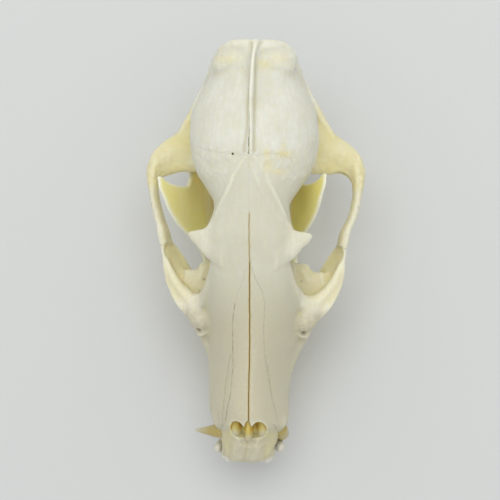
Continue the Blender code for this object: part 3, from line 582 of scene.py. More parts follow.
# The seams between the bones: their path seen from above or below, x and y, then how wavy they
# are, the groove's width and depth, and how dark the line is
Seam = namedtuple("Seam", "path swing wave width depth tone")
MIDLINE_SEAMS = (
    Seam(((0.3, 12.5), (0.4, 5), (0.55, -1)), 0.04, 4, 0.24, 0.12, 0.55),
    Seam(
        ((0.55, -1), (0.5, -12), (0.5, -23.5), (0.4, -32.4), (0.3, -38.3), (0.3, -48.6)),
        0.03, 7, 0.26, 0.26, 1,
    ),
    Seam(((-0.2, -52.8), (-0.3, -56)), 0.04, 4, 0.3, 0.2, 0.3),
    Seam(((-0.3, -56), (-0.5, -59), (-0.8, -62.5)), 0.08, 4, 0.24, 0.14, 0.14),
)
TOP_SEAMS = (
    Seam(((0, 41), (-0.1, 36)), 0.03, 4, 0.22, 0.14, 0.4),
    Seam(((-0.1, 36), (-0.1, 32), (0, 29.2)), 0.03, 4, 0.22, 0.2, 1),
    Seam(((0, 29), (0.1, 19), (0.3, 12.5)), 0.05, 3, 0.22, 0.03, 0.08),
    Seam(((-0.3, -2.6), (-1.3, -6.3), (-2.8, -9.5), (-3.8, -13)), 0.05, 2.6, 0.22, 0.08, 0.14),
    Seam(
        ((-3.8, -13), (-4.6, -19.8), (-4.6, -26.4), (-4.5, -31.2), (-4.9, -35.1), (-5.3, -40.2),
         (-6.2, -44.2), (-6.8, -48)),
        0.04, 3.6, 0.22, 0.1, 0.55,
    ),
    Seam(
        ((-5.3, -28), (-6.1, -32.5), (-7, -38.7), (-7.4, -43), (-7.8, -46.4), (-8, -50)),
        0.04, 4, 0.24, 0.08, 0.3,
    ),
    Seam(((1.1, -2.6), (2.4, -6), (4, -9.1), (4.9, -12.6)), 0.09, 1.7, 0.22, 0.08, 0.24),
    Seam(
        ((4.9, -12.6), (4.5, -20.5), (4.8, -27), (5.4, -32.2), (6.2, -36.4), (6.7, -39.8),
         (7.2, -42.2), (8, -45.3), (8.4, -48)),
        0.04, 3, 0.22, 0.08, 0.28,
    ),
    Seam(((5.6, -30.5), (6.4, -38), (7.7, -44)), 0.04, 4, 0.24, 0.06, 0.18),
    Seam(
        ((-14.1, 30.9), (-8.9, 29.8), (-4.5, 29.3), (-0.2, 29), (3.2, 29.1), (5.7, 29.7),
         (9.1, 29.3), (12.4, 27.6)),
        0.26, 1.7, 0.26, 0.1, 0.14,
    ),
)
UNDER_SEAMS = (
    Seam(((0, -61), (0, -30), (0, -2)), 0.1, 2.5, 0.25, 0.15, 0.35),
    Seam(
        ((-8, -12), (-5, -19), (-2.5, -24), (0, -25), (2.5, -24), (5, -19),
         (8, -12)),
        0.15, 2, 0.22, 0.1, 0.28,
    ),
    Seam(((-5.5, 34), (0, 33.6), (5.5, 34)), 0.12, 2, 0.25, 0.14, 0.35),
)
# The same, seen from the side, y and z, on both sides of the skull
SIDE_SEAMS = (
    Seam(((-12, 33), (-9, 29), (-6.5, 26.5)), 0.2, 2.2, 0.24, 0.1, 0.25),
    Seam(((3.2, 38), (4, 34.6), (9, 33), (14, 33.4)), 0.06, 3, 0.26, 0.16, 0.45),
    Seam(((-47.6, 42), (-50, 36), (-52.6, 30), (-53, 25)), 0.12, 2.4, 0.22, 0.1, 0.3),
    Seam(
        ((15, 37), (17.5, 43.5), (23, 49), (31, 51.5), (40, 49), (47, 43.5)),
        0.22, 2.4, 0.22, 0.1, 0.25,
    ),
    Seam(((8, 52), (11, 44), (14, 38)), 0.15, 2.2, 0.2, 0.08, 0.18),
)
Ridge = namedtuple("Ridge", "path width lift")
CREST_SIDES = (
    ((-1.5, 30), (-1.2, 33), (-0.85, 36.5), (-0.8, 46), (-0.5, 53), (-0.3, 61)),
    ((1.6, 30), (1.65, 38), (1.65, 47), (1.6, 57), (2.6, 61.4)),
)
TOP_RIDGES = (
    Ridge(((-11.1, 8.8), (-7.7, 13.4), (-6.1, 17.7), (-4.3, 22.5), (-1.6, 27.3)), 0.8, 0.15),
    Ridge(
        ((12, 9.5), (9.9, 10.7), (7.7, 12.8), (5.9, 16.1), (3.7, 19.6), (1.9, 23.5), (0.6, 26.8)),
        0.75, 0.2,
    ),
    Ridge(CREST_SIDES[0], 0.45, -0.4),
    Ridge(CREST_SIDES[1], 0.45, -0.4),
    Ridge(((-3.9, -56.6), (-2.4, -60.5)), 1.5, 0.3),
    Ridge(((2.9, -57.2), (1.8, -60.5)), 1.4, 0.34),
    Ridge(((-18.5, 31), (-22.5, 29.2), (-26.5, 26)), 2.4, -0.45),
    Ridge(((18.9, 31), (22.9, 29.2), (26.9, 26)), 2.4, -0.45),
    Ridge(((-16, -6), (-14.6, -3)), 0.8, 0.3),
    Ridge(((16.6, -6), (14.8, -3.4)), 0.8, 0.3),
    Ridge(((-13.8, 27.6), (-10, 26.2), (-6.2, 26.9)), 1, -0.14),
    Ridge(((5, 26.4), (9, 25.4), (12.8, 24.6)), 1, -0.16),
    Ridge(((5.2, -57), (5.7, -62)), 0.8, -0.35),
    Ridge(((-5.2, -57), (-5.7, -62)), 0.8, -0.35),
    Ridge(((-12.4, 51.1), (-8.3, 52.7), (-5.1, 53.3), (-1.9, 53.4)), 0.8, -0.14),
    Ridge(((1.9, 53.1), (5, 53.7), (8.7, 53.3), (12.4, 51.5)), 0.8, -0.14),
)


def wavy(path, swing, wave):
    """A smooth curve through the drawn points, with the small waves of a bone seam."""
    path = np.asarray(path, float)
    reach = path_length(path)
    at = np.arange(0, reach[-1], 0.3)
    line = smooth(reach, path, at)
    way = np.gradient(line, axis=0)
    side = np.stack([-way[:, 1], way[:, 0]], 1) / np.linalg.norm(way, axis=1)[:, None]
    turn = 2 * math.pi * at / wave
    shift = np.sin(turn) + 0.6 * np.sin(2.3 * turn + 1.0) + 0.4 * np.sin(4.1 * turn + 2.0)
    return line + side * (swing * shift)[:, None]


def across(points, path, reach):
    """How far each point is from a drawn path, below 0 on its right-hand side."""
    path = np.asarray(path, float)
    offset = np.full(len(points), 1e3)
    close = np.all((points > path.min(0) - reach) & (points < path.max(0) + reach), axis=1)
    near = points[close]
    best = np.full(len(near), 1e3)
    for start, end in zip(path, path[1:]):
        run = end - start
        t = np.clip((near - start) @ run / (run @ run), 0, 1)
        gap = near - start - t[:, None] * run
        size = np.linalg.norm(gap, axis=1)
        hand = np.where(run[0] * gap[:, 1] < run[1] * gap[:, 0], -1.0, 1.0)
        best = np.where(size < np.abs(best), size * hand, best)
    offset[close] = best
    return offset


def swell(away, width):
    """1 on a line, falling softly to 0 past its width."""
    return np.exp(-((away / width) ** 2))


def ramp(values, start, end):
    """0 before the start and 1 past the end, with soft ends. The end may be the lower one."""
    t = np.clip((values - start) / (end - start), 0, 1)
    return t * t * (3 - 2 * t)


def marked(piece, name, values, low=0.0):
    """Keeps a value up to 1 for each point, which the finish reads."""
    layer = piece.data.attributes.new(name, "FLOAT", "POINT")
    layer.data.foreach_set("value", np.clip(values, low, 1.0).astype(np.float32))


places, ways = surface(skull_bone)
side = np.where(places[:, 0] < 0, -1.0, 1.0)
outward = ways[:, 0] * side
lift = np.zeros(len(places))
for name, groups in (
    ("midline", ((MIDLINE_SEAMS, ramp(ways[:, 2], -0.1, 0.15), (0, 1)),)),
    ("seam", (
        (TOP_SEAMS, ramp(ways[:, 2], -0.1, 0.15), (0, 1)),
        (UNDER_SEAMS, ramp(ways[:, 2], -0.3, -0.6), (0, 1)),
        (SIDE_SEAMS, ramp(outward, 0.05, 0.3) * ramp(np.abs(places[:, 0]), 6.0, 8.0), (1, 2)),
    )),
):
    offset = np.full(len(places), 9.0)
    tone = np.zeros(len(places))
    for seams, face, axes in groups:
        for line in seams:
            away = across(places[:, axes], wavy(line.path, line.swing, line.wave), 2.0)
            lift -= face * line.depth * swell(away, line.width)
            nearer = (np.abs(away) < np.abs(offset)) & (face > 0.05)
            offset[nearer] = away[nearer]
            tone[nearer] = (line.tone * face * (1 - ramp(np.abs(away), 0.8, 1.4)))[nearer]
    marked(skull_bone, name, offset, low=-1.0)
    marked(skull_bone, f"{name}_tone", tone)
for ridge in TOP_RIDGES:
    away = across(places[:, :2], wavy(ridge.path, 0.0, 9.0), 3.0)
    lift += ramp(ways[:, 2], -0.1, 0.2) * ridge.lift * swell(away, ridge.width)


# Holes for nerves and vessels on each side: place, radius and depth
Hole = namedtuple("Hole", "x y z radius depth")
HOLES = (
    Hole(19, 40.6, 32.4, 1.9, 2.2),
    Hole(13.4, -8.4, 43, 0.9, 1.2),
    Hole(9.6, 13, 38, 1, 1.6),
    Hole(10.2, 17, 36, 1.4, 1.8),
    Hole(10.8, 21.5, 34.6, 1.1, 1.6),
    Hole(9.2, -2.5, 35, 1.2, 1.6),
    Hole(4.2, -27, 25, 0.8, 1),
    Hole(2.1, -53, 24.4, 1.1, 1.4),
    Hole(8.6, 46.5, 29.8, 0.9, 1.2),
    Hole(7.4, 57.2, 44, 0.5, 0.7),
    Hole(15.8, -10.2, 33.4, 0.5, 0.5),
    Hole(18.4, -7.6, 33.6, 0.4, 0.4),
    Hole(14.6, -6.6, 33, 0.4, 0.4),
    Hole(15.8, -22, 36.5, 1, 0.6),
)
PINHOLE = Hole(-4.55, 29.3, 62.7, 0.26, 0.3)

# Painted shade along the grooves beside the top crest and inside the holes, deeper than their shallow
# dents would give.
painted_shade = np.zeros(len(places))
for path in CREST_SIDES:
    groove = swell(across(places[:, :2], wavy(path, 0.03, 5.0), 3.0), 0.4)
    painted_shade = np.maximum(painted_shade, 0.13 * groove * ramp(ways[:, 2], 0.0, 0.3))
mirrored_places = places.copy()
mirrored_places[:, 0] *= side
for hole in HOLES:
    away = np.linalg.norm(mirrored_places - (hole.x, hole.y, hole.z), axis=1)
    lift -= hole.depth * swell(away, hole.radius * 0.75)
    painted_shade = np.maximum(painted_shade, 0.7 * swell(away, hole.radius * 0.8))
away = np.hypot(places[:, 0] - PINHOLE.x, places[:, 1] - PINHOLE.y)
lift -= PINHOLE.depth * swell(away, PINHOLE.radius) * ramp(ways[:, 2], 0.5, 0.8)


# Rough bone, where muscles and gums held on. Each edge of a patch is an axis, the place along it
# where the patch's share is 0, and the place where it is 1
BROW_EDGE = (("y", 19, 24), ("y", 34, 30), ("x", 2.5, 5))
CHEEK_BASE = (("x", 12, 14), ("y", -13, -17), ("y", -29, -25))
NAPE = (("y", 50, 53),)
SNOUT_TIP = (("y", -52.5, -55),)
COARSE_LUMPS = (1.3, 0.20)  # how far apart, and lift
FINE_LUMPS = (0.8, 0.06)


def patch(edges):
    """The share of each point of the cranium in a patch with soft edges, alike on both sides."""
    share = np.ones(len(mirrored_places))
    for axis, start, end in edges:
        share *= ramp(mirrored_places[:, "xyz".index(axis)], start, end)
    return share


def lumpy(places, share, wave, lift):
    """Small lumps where the share is over 0, as far apart as the wave."""
    rise = np.zeros(len(places))
    for i in np.flatnonzero(share > 0.01):
        rise[i] = noise.noise(places[i] / wave) * share[i] * lift
    return rise


upward = ramp(ways[:, 2], 0.1, 0.5)
rough = np.maximum(0.85 * patch(BROW_EDGE), 0.8 * patch(CHEEK_BASE))
rough = np.maximum(rough, 0.5 * patch(NAPE))
lift += lumpy(places, np.maximum(rough, 0.3 * patch(SNOUT_TIP)) * upward, *COARSE_LUMPS)
lift += lumpy(places, 0.5 + 0.5 * rough, *FINE_LUMPS)

# The trough along the inner face of each cheekbone
TROUGH = (("y", -16, -11), ("y", 4.6, 3.2))
TROUGH_DEPTH = 0.8
arch = np.abs(across(mirrored_places, np.array(CHEEK_ARCH)[:, :3], 6.0))
inner_face = np.clip(-0.8 * ways[:, 0] * side + 0.6 * ways[:, 2], 0, 1)
in_trough = patch(TROUGH)
lift -= TROUGH_DEPTH * inner_face**2 * in_trough * ramp(arch, 5.5, 3.0)

# Where fat and earth have stained the bone: in the eye sockets, inside the arches, in the nose
# and on the root of the arch
SOCKET_FLOOR = (("y", -15, -11.5), ("y", -0.5, -3), ("x", 11.5, 13), ("z", 42, 36))
ARCH_INSIDE = (("y", -14, -9),)
ARCH_ROOT = (("y", 18, 23), ("x", 17, 19.5), ("z", 47, 41))
NOSE_INSIDE = (
    ("y", -55.2, -51.2), ("y", -26, -30), ("x", 6.6, 5.4), ("z", 29, 31), ("z", 42.2, 41.2)
)
NOSE_ROOF = (("y", -50, -49),)
NOSE_SIDES = (("y", -52.5, -51),)
NOSE_DEPTH = (("y", -54, -50),)
GUM_RIM = (("y", -51, -53),)
floor_of_socket = patch(SOCKET_FLOOR) * ramp(ways[:, 2], -0.2, 0.4)
inside_arch = inner_face * ramp(arch, 7.0, 5.0) * patch(ARCH_INSIDE)
root_of_arch = patch(ARCH_ROOT)
in_nose = patch(NOSE_INSIDE)
in_nose *= 1 - ramp(ways[:, 2], 0.5, 0.8) * patch(NOSE_ROOF)
in_nose *= 1 - ramp(outward, 0.0, 0.3) * patch(NOSE_SIDES)
below = ramp(ways[:, 2], -0.1, -0.7)
# The outward faces at the front of the gums get ochre too, a stain that here also stands in as
# painted shade along the sides of the snout's tip.
ochre = np.maximum.reduce([
    0.28 * floor_of_socket, 0.47 * inside_arch * (0.4 + 0.6 * in_trough), 0.62 * root_of_arch,
    0.9 * in_nose, 0.45 * below, 0.3 * patch(GUM_RIM) * ramp(outward, 0.15, 0.6),
])

# Where it has bleached: the cheekbone, less so at its rear, the eye socket's floor and the brow point
PALE_CHEEK = (("x", 14, 16), ("y", -17, -13.5), ("z", 46, 43))
PALE_BROW = (("x", 9.5, 12.5), ("y", 0, 2), ("y", 11, 9), ("z", 46, 48))
REAR_CHEEK = (("y", 3, 5),)
pale_cheek = patch(PALE_CHEEK) * (1 - root_of_arch) * (1 - 0.5 * patch(REAR_CHEEK))
pale = np.maximum.reduce([pale_cheek, floor_of_socket, 0.6 * patch(PALE_BROW)])
marked(skull_bone, "pale", pale)

# x, y, reach along x, reach along y and strength, seen from above
STAINS = (
    (3.9, 54.9, 2.4, 1.6, 0.42), (5, 29.6, 0.9, 1.6, 0.5), (5.4, 26.2, 1.4, 2.2, 0.46),
    (8, 24.6, 2.4, 0.9, 0.42), (9.8, 29.6, 2.2, 1.2, 0.55), (9.6, 31.6, 0.8, 1, 0.4),
    (-7, 56.4, 4, 1.4, 0.28), (8.4, 56.4, 3.5, 1.5, 0.3), (18.2, 25, 1.8, 3.6, 0.62),
    (-18.2, 25, 1.8, 3.6, 0.62),
)
for spot_x, spot_y, reach_x, reach_y, strength in STAINS:
    spot = ((places[:, 0] - spot_x) / reach_x) ** 2 + ((places[:, 1] - spot_y) / reach_y) ** 2
    ochre = np.maximum(ochre, strength * np.exp(-spot) * ramp(ways[:, 2], 0.2, 0.6))
marked(skull_bone, "ochre", ochre)
marked(skull_bone, "deep", in_nose * patch(NOSE_DEPTH) * ramp(ways[:, 2], 0.9, 0.2))
marked(skull_bone, "painted_shade", painted_shade)

# The tip of the snout bends a little to the right
BEND_START = -52.0
TIP_BEND = 0.1
HIGHLIGHT_RELIEF_HEIGHT = 0.25
HIGHLIGHT_RELIEF_ROUNDS = 40


def bent(places):
    """The places moved with the bend at the snout's tip, for each millimetre in front of it."""
    places[:, 0] += TIP_BEND * np.minimum(places[:, 1] - BEND_START, 0.0)
    return places


def standing_out(piece, rounds):
    """How far each point stands out of the bone round it, below 0 in a hollow."""
    places, ways = surface(piece)
    around = piece.copy()
    around.data = piece.data.copy()
    bpy.context.scene.collection.objects.link(around)
    away = places - surface(applied(softened(around, rounds)))[0]
    bpy.data.objects.remove(around)
    return np.einsum("ij,ij->i", away, ways)


moved(skull_bone, bent(places + ways * lift[:, None]))
# Paler where the bone stands out of the bone round it, as a painted highlight, and ochre-stained
# where it sinks into a hollow.
marked(skull_bone, "highlight_and_hollow_stain", standing_out(skull_bone, HIGHLIGHT_RELIEF_ROUNDS) / HIGHLIGHT_RELIEF_HEIGHT, low=-1.0)

# Its finish. The marks kept on the bone say where it is stained or seamed, and where shade and
# highlights are painted on it
MARK_KINDS = (
    "pale", "highlight_and_hollow_stain", "ochre", "deep", "painted_shade", "midline", "midline_tone", "seam", "seam_tone"
)
PIN_EDGE = 0.24
PIN_FADE = 0.38
PIN_LOWEST = 55.0


def fed(tree, socket, value):
    """Gives a socket a link or a value."""
    if isinstance(value, bpy.types.NodeSocket):
        tree.links.new(value, socket)
    else:
        socket.default_value = value


def node(tree, kind, **settings):
    """A shader node, with its own settings and the values or links of its sockets."""
    made = tree.nodes.new("ShaderNode" + kind)
    for name, value in settings.items():
        if name.startswith("in_"):
            fed(tree, made.inputs[int(name[3:]) if name[3:].isdigit() else name[3:]], value)
        else:
            setattr(made, name, value)
    return made


def blank_finish(name):
    """A new material, its tree, its shader and the places on the piece that wears it."""
    finish = bpy.data.materials.new(name)
    finish.use_nodes = True
    tree = finish.node_tree
    place = node(tree, "TexCoord").outputs["Object"]
    return finish, tree, tree.nodes["Principled BSDF"], place


def noisy(tree, place, scale, detail):
    """Cloudy noise, finer with a larger scale."""
    made = node(tree, "TexNoise", in_Vector=place, in_Scale=scale, in_Detail=detail)
    return made.outputs[0]


def stretched(tree, place, stretch):
    """The places with each axis multiplied."""
    made = node(tree, "VectorMath", operation="MULTIPLY", in_0=place)
    made.inputs[1].default_value = stretch
    return made.outputs[0]


def mixed(tree, share, first, second):
    """One colour laid over another by a share."""
    mix = node(tree, "Mix", data_type="RGBA")
    for number, value in ((0, share), (6, first), (7, second)):
        fed(tree, mix.inputs[number], value)
    return mix.outputs[2]


def scaled(tree, value, low, high, new_low=0.0, new_high=1.0):
    """A value moved from one range to another."""
    made = node(tree, "MapRange", in_0=value, in_1=low, in_2=high, in_3=new_low, in_4=new_high)
    return made.outputs[0]


def times(tree, first, second):
    return node(tree, "Math", operation="MULTIPLY", in_0=first, in_1=second).outputs[0]


def colour(red, green, blue):
    """A colour as the eye reads it, 0 to 255, as the light that it gives back."""
    shares = [(v / 255 / 12.92) if v < 10.3 else ((v / 255 + 0.055) / 1.055) ** 2.4
              for v in (red, green, blue)]
    return (*shares, 1.0)


def drawn(tree, offset, tone, half_width, fade):
    """A thin line where a piece's offset is near 0, as dark as its tone."""
    size = node(tree, "Math", operation="ABSOLUTE", in_0=offset).outputs[0]
    return times(tree, scaled(tree, size, half_width, half_width + fade, 1.0, 0.0), tone)


STREAK_STRETCH = (1.0, 0.12, 1.0)
REAR_FADE = (0.032, 0.018)  # where the rear tone turns to the middle one, in metres along Y
FRONT_FADE = (-0.002, -0.020)
DEEP_STAIN = colour(205, 174, 64)
MIDLINE_EDGE = colour(206, 180, 110)
MIDLINE_LINE = colour(118, 96, 20)
SEAM_LINE = colour(116, 112, 78)
PAINTED_HOLE_SHADE = colour(58, 50, 34)
PAINTED_PINHOLE_SHADE = colour(40, 36, 26)


def dry_bone(name, back, middle, front, stain, stain_colour, pale, glow):
    """Matt, dry bone with faint clouds, fine streaks and pores, and stained seams, with painted shade
    towards its front and in its holes and grooves, and a painted highlight where it stands out.
    """
    finish, tree, shader, place = blank_finish(name)
    along, height = node(tree, "SeparateXYZ", in_0=place).outputs[1:]
    clouds = noisy(tree, place, 130.0, 5.0)
    mottle = noisy(tree, place, 700.0, 4.0)
    streaks = noisy(tree, stretched(tree, place, STREAK_STRETCH), 900.0, 3.0)
    pores = node(tree, "TexVoronoi", in_Vector=place, in_Scale=1500.0)
    mark = {
        kind: node(tree, "Attribute", attribute_name=kind).outputs["Fac"] for kind in MARK_KINDS
    }
    # The tone darkens from the back to the front: partly the face's own tan, and partly painted shade
    # for the snout, which slopes away from the light behind the skull.
    base = mixed(tree, scaled(tree, along, *REAR_FADE), back, middle)
    base = mixed(tree, scaled(tree, along, *FRONT_FADE), base, front)
    base = mixed(tree, times(tree, mark["pale"], 0.85), base, pale)
    base = mixed(tree, scaled(tree, clouds, 0.38, 0.72, 0.0, 0.36), base, stain)
    base = mixed(tree, scaled(tree, mottle, 0.38, 0.62, 0.15, 0.0), base, stain)
    base = mixed(tree, scaled(tree, streaks, 0.38, 0.6, 0.2, 0.0), base, stain)
    uneven = times(tree, mark["ochre"], scaled(tree, clouds, 0.3, 0.7, 0.75, 1.15))
    base = mixed(tree, uneven, base, stain_colour)
    # Painted highlight where the bone stands out, and ochre in its hollows.
    base = mixed(tree, scaled(tree, mark["highlight_and_hollow_stain"], 0.15, 1.0, 0.0, 0.45), base, pale)
    base = mixed(tree, scaled(tree, mark["highlight_and_hollow_stain"], -0.15, -1.0, 0.0, 0.3), base, stain_colour)
    base = mixed(tree, mark["deep"], base, DEEP_STAIN)
    edge = drawn(tree, mark["midline"], mark["midline_tone"], 0.2, 0.45)
    base = mixed(tree, times(tree, edge, 0.45), base, MIDLINE_EDGE)
    line = drawn(tree, mark["midline"], mark["midline_tone"], 0.09, 0.14)
    base = mixed(tree, line, base, MIDLINE_LINE)
    broken = times(tree, mark["seam_tone"], scaled(tree, mottle, 0.38, 0.58, 0.35, 1.0))
    line = drawn(tree, mark["seam"], broken, 0.06, 0.16)
    base = mixed(tree, line, base, SEAM_LINE)
    # Painted shade in the holes and in the grooves beside the crest.
    base = mixed(tree, mark["painted_shade"], base, PAINTED_HOLE_SHADE)
    # A painted shade dot in the pinhole on top of the skull, only on the high bone of the top.
    flat = stretched(tree, place, (1.0, 1.0, 0.0))
    to_pinhole = node(tree, "VectorMath", operation="DISTANCE", in_0=flat)
    to_pinhole.inputs[1].default_value = (PINHOLE.x * MM, PINHOLE.y * MM, 0.0)
    pin = scaled(tree, to_pinhole.outputs["Value"], PIN_EDGE * MM, PIN_FADE * MM, 1.0, 0.0)
    pin = times(tree, pin, scaled(tree, height, PIN_LOWEST * MM, (PIN_LOWEST + 1.0) * MM))
    base = mixed(tree, pin, base, PAINTED_PINHOLE_SHADE)
    tree.links.new(base, shader.inputs["Base Color"])
    rough = scaled(tree, streaks, 0.3, 0.7, 0.46, 0.62)
    tree.links.new(rough, shader.inputs["Roughness"])
    shader.inputs["IOR"].default_value = 1.5
    shader.inputs["Specular IOR Level"].default_value = 0.35
    shader.inputs["Subsurface Weight"].default_value = glow
    shader.inputs["Subsurface Radius"].default_value = (1.0, 0.78, 0.4)
    shader.inputs["Subsurface Scale"].default_value = 0.004
    pits = scaled(tree, pores.outputs["Distance"], 0.0, 0.35)
    grain = node(
        tree, "Math", operation="ADD", in_0=times(tree, streaks, 0.8), in_1=times(tree, pits, 0.25)
    ).outputs[0]
    relief = node(tree, "Bump", in_Strength=0.35, in_Distance=0.00012, in_Height=grain)
    tree.links.new(relief.outputs[0], shader.inputs["Normal"])
    return finish


# The front tone is darker than the rear partly as painted shade.
skull_bone.data.materials.append(dry_bone(
    "cranium_bone", colour(225, 226, 215), colour(212, 211, 194), colour(199, 194, 170),
    colour(204, 199, 170), colour(222, 210, 136), colour(243, 240, 219), 0.35,
))
skull_bone.data.shade_smooth()
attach(skull_bone, "root")
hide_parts("cranium")

# Scrolls in the nose
# Paper-thin rolls of bone on each side of the wall that divides the nose. Here each roll is a
# rounded strip that grows from the floor of the passage, and the wall stands between them.

NOSE_WALL = (
    Bar(-0.3, -55.2, 31.8, 0.5, 0.7),
    Bar(-0.2, -53.9, 32.2, 1.9, 1.1),
    Bar(-0.1, -52.2, 33.6, 3, 1.3),
    Bar(0, -50.2, 35, 4.2, 1.3),
    Bar(0.1, -47.8, 36.4, 4.9, 1.3),
    Bar(0.1, -44, 36.6, 4.9, 1.3),
)
OUTER_ROLL = (
    Bar(4.2, -55.4, 30.6, 0.7, 1),
    Bar(4.3, -53.9, 31.3, 1.6, 1.7),
    Bar(4.3, -52.2, 32.6, 2.6, 2),
    Bar(4.3, -50, 33.8, 3.6, 2.15),
    Bar(4.3, -47.6, 34.8, 4, 2.15),
    Bar(4.3, -44, 35, 4, 2.15),
)
NOSE_FLOOR = (
    Bar(0, -54.4, 30.4, 0.9, 2),
    Bar(0, -52.6, 30.8, 2.2, 3.6),
    Bar(0, -50, 31.4, 3.5, 4.8),
    Bar(0, -44, 31.6, 4.4, 5.4),
)
SCROLL_GRAIN = 0.2
SCROLL_WAVES = (1.4, 0.3)
scroll_forms = [barred(NOSE_WALL, 40, 28), barred(NOSE_FLOOR, 40, 28)]
scroll_forms += pair_of(barred(OUTER_ROLL, 40, 28))
nose_scrolls = fused(piece_of("nose_scrolls", scroll_forms), SCROLL_GRAIN, 2)
weathered(nose_scrolls, *SCROLL_WAVES)
places, ways = surface(nose_scrolls)
for kind in ("painted_shade", "pale", "highlight_and_hollow_stain", "midline_tone", "seam_tone"):
    marked(nose_scrolls, kind, np.zeros(len(places)))
for kind in ("midline", "seam"):
    marked(nose_scrolls, kind, np.ones(len(places)))
inward = places[:, 1] - 0.4 * np.abs(places[:, 0])
marked(nose_scrolls, "ochre", 0.12 + 0.88 * ramp(inward, -54.8, -51.0))
depth = ramp(inward, -53.8, -50.4) * (1 - 0.5 * ramp(ways[:, 2], 0.2, 0.8))
marked(nose_scrolls, "deep", depth)
moved(nose_scrolls, swayed(places))
nose_scrolls.data.materials.append(skull_bone.data.materials[0])
nose_scrolls.data.shade_smooth()
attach(nose_scrolls, "root")
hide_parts("cranium")

# Upper teeth
# Ivory capped with enamel. Each stands in a socket of its own: six cheek teeth, three incisors
# and a long canine on each side. The right canine has worked loose and leans out.

GUM_HEIGHT = 24.1
Tooth = namedtuple("Tooth", "name y x length width height cusps turn")
Cusp = namedtuple("Cusp", "along across share spread")
BLADE = (Cusp(-0.15, 0.0, 1.0, 0.95), Cusp(0.62, 0.0, 0.42, 0.4))
SLICER = (
    Cusp(-0.22, 0.25, 1, 0.7),
    Cusp(0.52, 0.25, 0.66, 0.55),
    Cusp(-0.62, -0.55, 0.45, 0.5),
)
GRINDER = (
    Cusp(-0.4, 0.55, 1, 0.55),
    Cusp(0.42, 0.5, 0.85, 0.55),
    Cusp(-0.1, -0.5, 0.75, 0.6),
)
UPPER_TEETH = (
    Tooth("first_premolar", -45.2, 10.5, 3.4, 2.6, 3.2, BLADE, 0),
    Tooth("second_premolar", -39.2, 10.6, 5.8, 2.9, 4.4, BLADE, -3),
    Tooth("third_premolar", -31.8, 11.4, 6.6, 3.2, 4.8, BLADE, -12),
    Tooth("carnassial", -22.8, 13.9, 10.4, 4.6, 6, SLICER, -10),
    Tooth("first_molar", -13.9, 14.9, 8, 9, 4.2, GRINDER, 10),
    Tooth("second_molar", -7, 13, 5.2, 6.8, 3.4, GRINDER, 14),
)
UPPER_INCISORS = (
    Tooth("first_incisor", -60.9, 1.3, 2.3, 2.2, 4.4, (), 0),
    Tooth("second_incisor", -60.6, 3.8, 2.5, 2.3, 4.7, (), 14),
)
UPPER_CANINE = (
    Bar(9.2, -51.2, 30, 2.1, 1.9),
    Bar(9.6, -52.9, 25.6, 2.3, 2),
    Bar(10, -54, 20.9, 2, 1.7),
    Bar(10.3, -54.8, 16.4, 1.4, 1.2),
    Bar(10.5, -55.2, 12.6, 0.5, 0.45),
)
LOOSE_CANINE = (
    Bar(-7.4, -52.3, 29.8, 1.8, 2.2),
    Bar(-9.6, -52.7, 27.6, 1.9, 2.2),
    Bar(-12.2, -53.1, 25.3, 1.5, 1.6),
    Bar(-14.8, -53.4, 23, 1, 1),
    Bar(-17.1, -53.6, 20.9, 0.35, 0.4),
)
UPPER_CORNER_INCISOR = (
    Bar(6.3, -57.6, 27.2, 1.9, 1.7),
    Bar(6.5, -59.6, 24.8, 1.9, 1.7),
    Bar(6.3, -61.3, 22, 1.5, 1.3),
    Bar(6.1, -62.8, 19.8, 0.8, 0.7),
)
LOOSE_NECK = 27.0
LOOSE_CROWN = 7.0
ROOT_DEPTH = 3.0
CROWN_TABLE = 0.42
CROWN_HEIGHT = 5.0
CANINE_HEIGHT = 12.0
INCISOR_TIP = 0.8


def placed(form, tooth, gum, up):
    """The tooth turned to its row and set at the rim of its socket, pointing up or down."""
    turn = Matrix.Rotation(math.radians(tooth.turn), 4, "Z")
    flip = Matrix.Diagonal((1, 1, up, 1))
    place = Matrix.Translation(Vector((tooth.x, tooth.y, gum)) * MM)
    bmesh.ops.transform(form, matrix=place @ flip @ turn, verts=form.verts)
    bmesh.ops.recalc_face_normals(form, faces=form.faces)
    return form


def cheek_tooth(tooth, gum, up, around=40, steps=16):
    """A root in its socket, and a crown with a waist at the gum that rises to its cusps."""
    angles = 2 * math.pi * np.arange(around) / around

    def height(along, across):
        rises = [CROWN_TABLE * (1 - math.hypot(along, across) ** 4)]
        for cusp in tooth.cusps:
            away = math.hypot(along - cusp.along, (across - cusp.across) * 0.8) / cusp.spread
            rises.append(cusp.share * (1 - away**1.3) if away < 1 else 0.0)
        return tooth.height * max(rises)

    def ring(share, level=None):
        points = []
        for a in angles:
            along, across = share * math.cos(a), share * math.sin(a)
            z = height(along, across) if level is None else level
            points.append((across * tooth.width / 2, along * tooth.length / 2, z))
        return points

    rings = [ring(0.75, -ROOT_DEPTH), ring(0.9, -0.8), ring(0.96, -0.1), ring(1.0, 0.35)]
    rings += [ring(share) for share in np.linspace(0.96, 0.05, steps)]
    return placed(loft(rings), tooth, gum, up)


def incisor(tooth, gum, up, around=24):
    """A root, and a chisel crown that tips forwards."""
    levels = np.array((  # share of the height, of the width and of the thickness
        (-ROOT_DEPTH / tooth.height, 0.55, 0.7),
        (-0.05, 0.7, 0.95),
        (0.45, 1.0, 0.85),
        (0.8, 0.98, 0.5),
        (1.0, 0.8, 0.22),
    ))
    rings = []
    for rise, wide, thick in smooth(levels[:, 0], levels, np.linspace(levels[0, 0], 1.0, 14)):
        ring = []
        for k in range(around):
            angle = 2 * math.pi * k / around
            x = wide * tooth.length / 2 * math.cos(angle)
            y = thick * tooth.width / 2 * math.sin(angle) - INCISOR_TIP * max(rise, 0)
            ring.append((x, y, rise * tooth.height))
        rings.append(ring)
    return placed(loft(rings), tooth, gum, up)


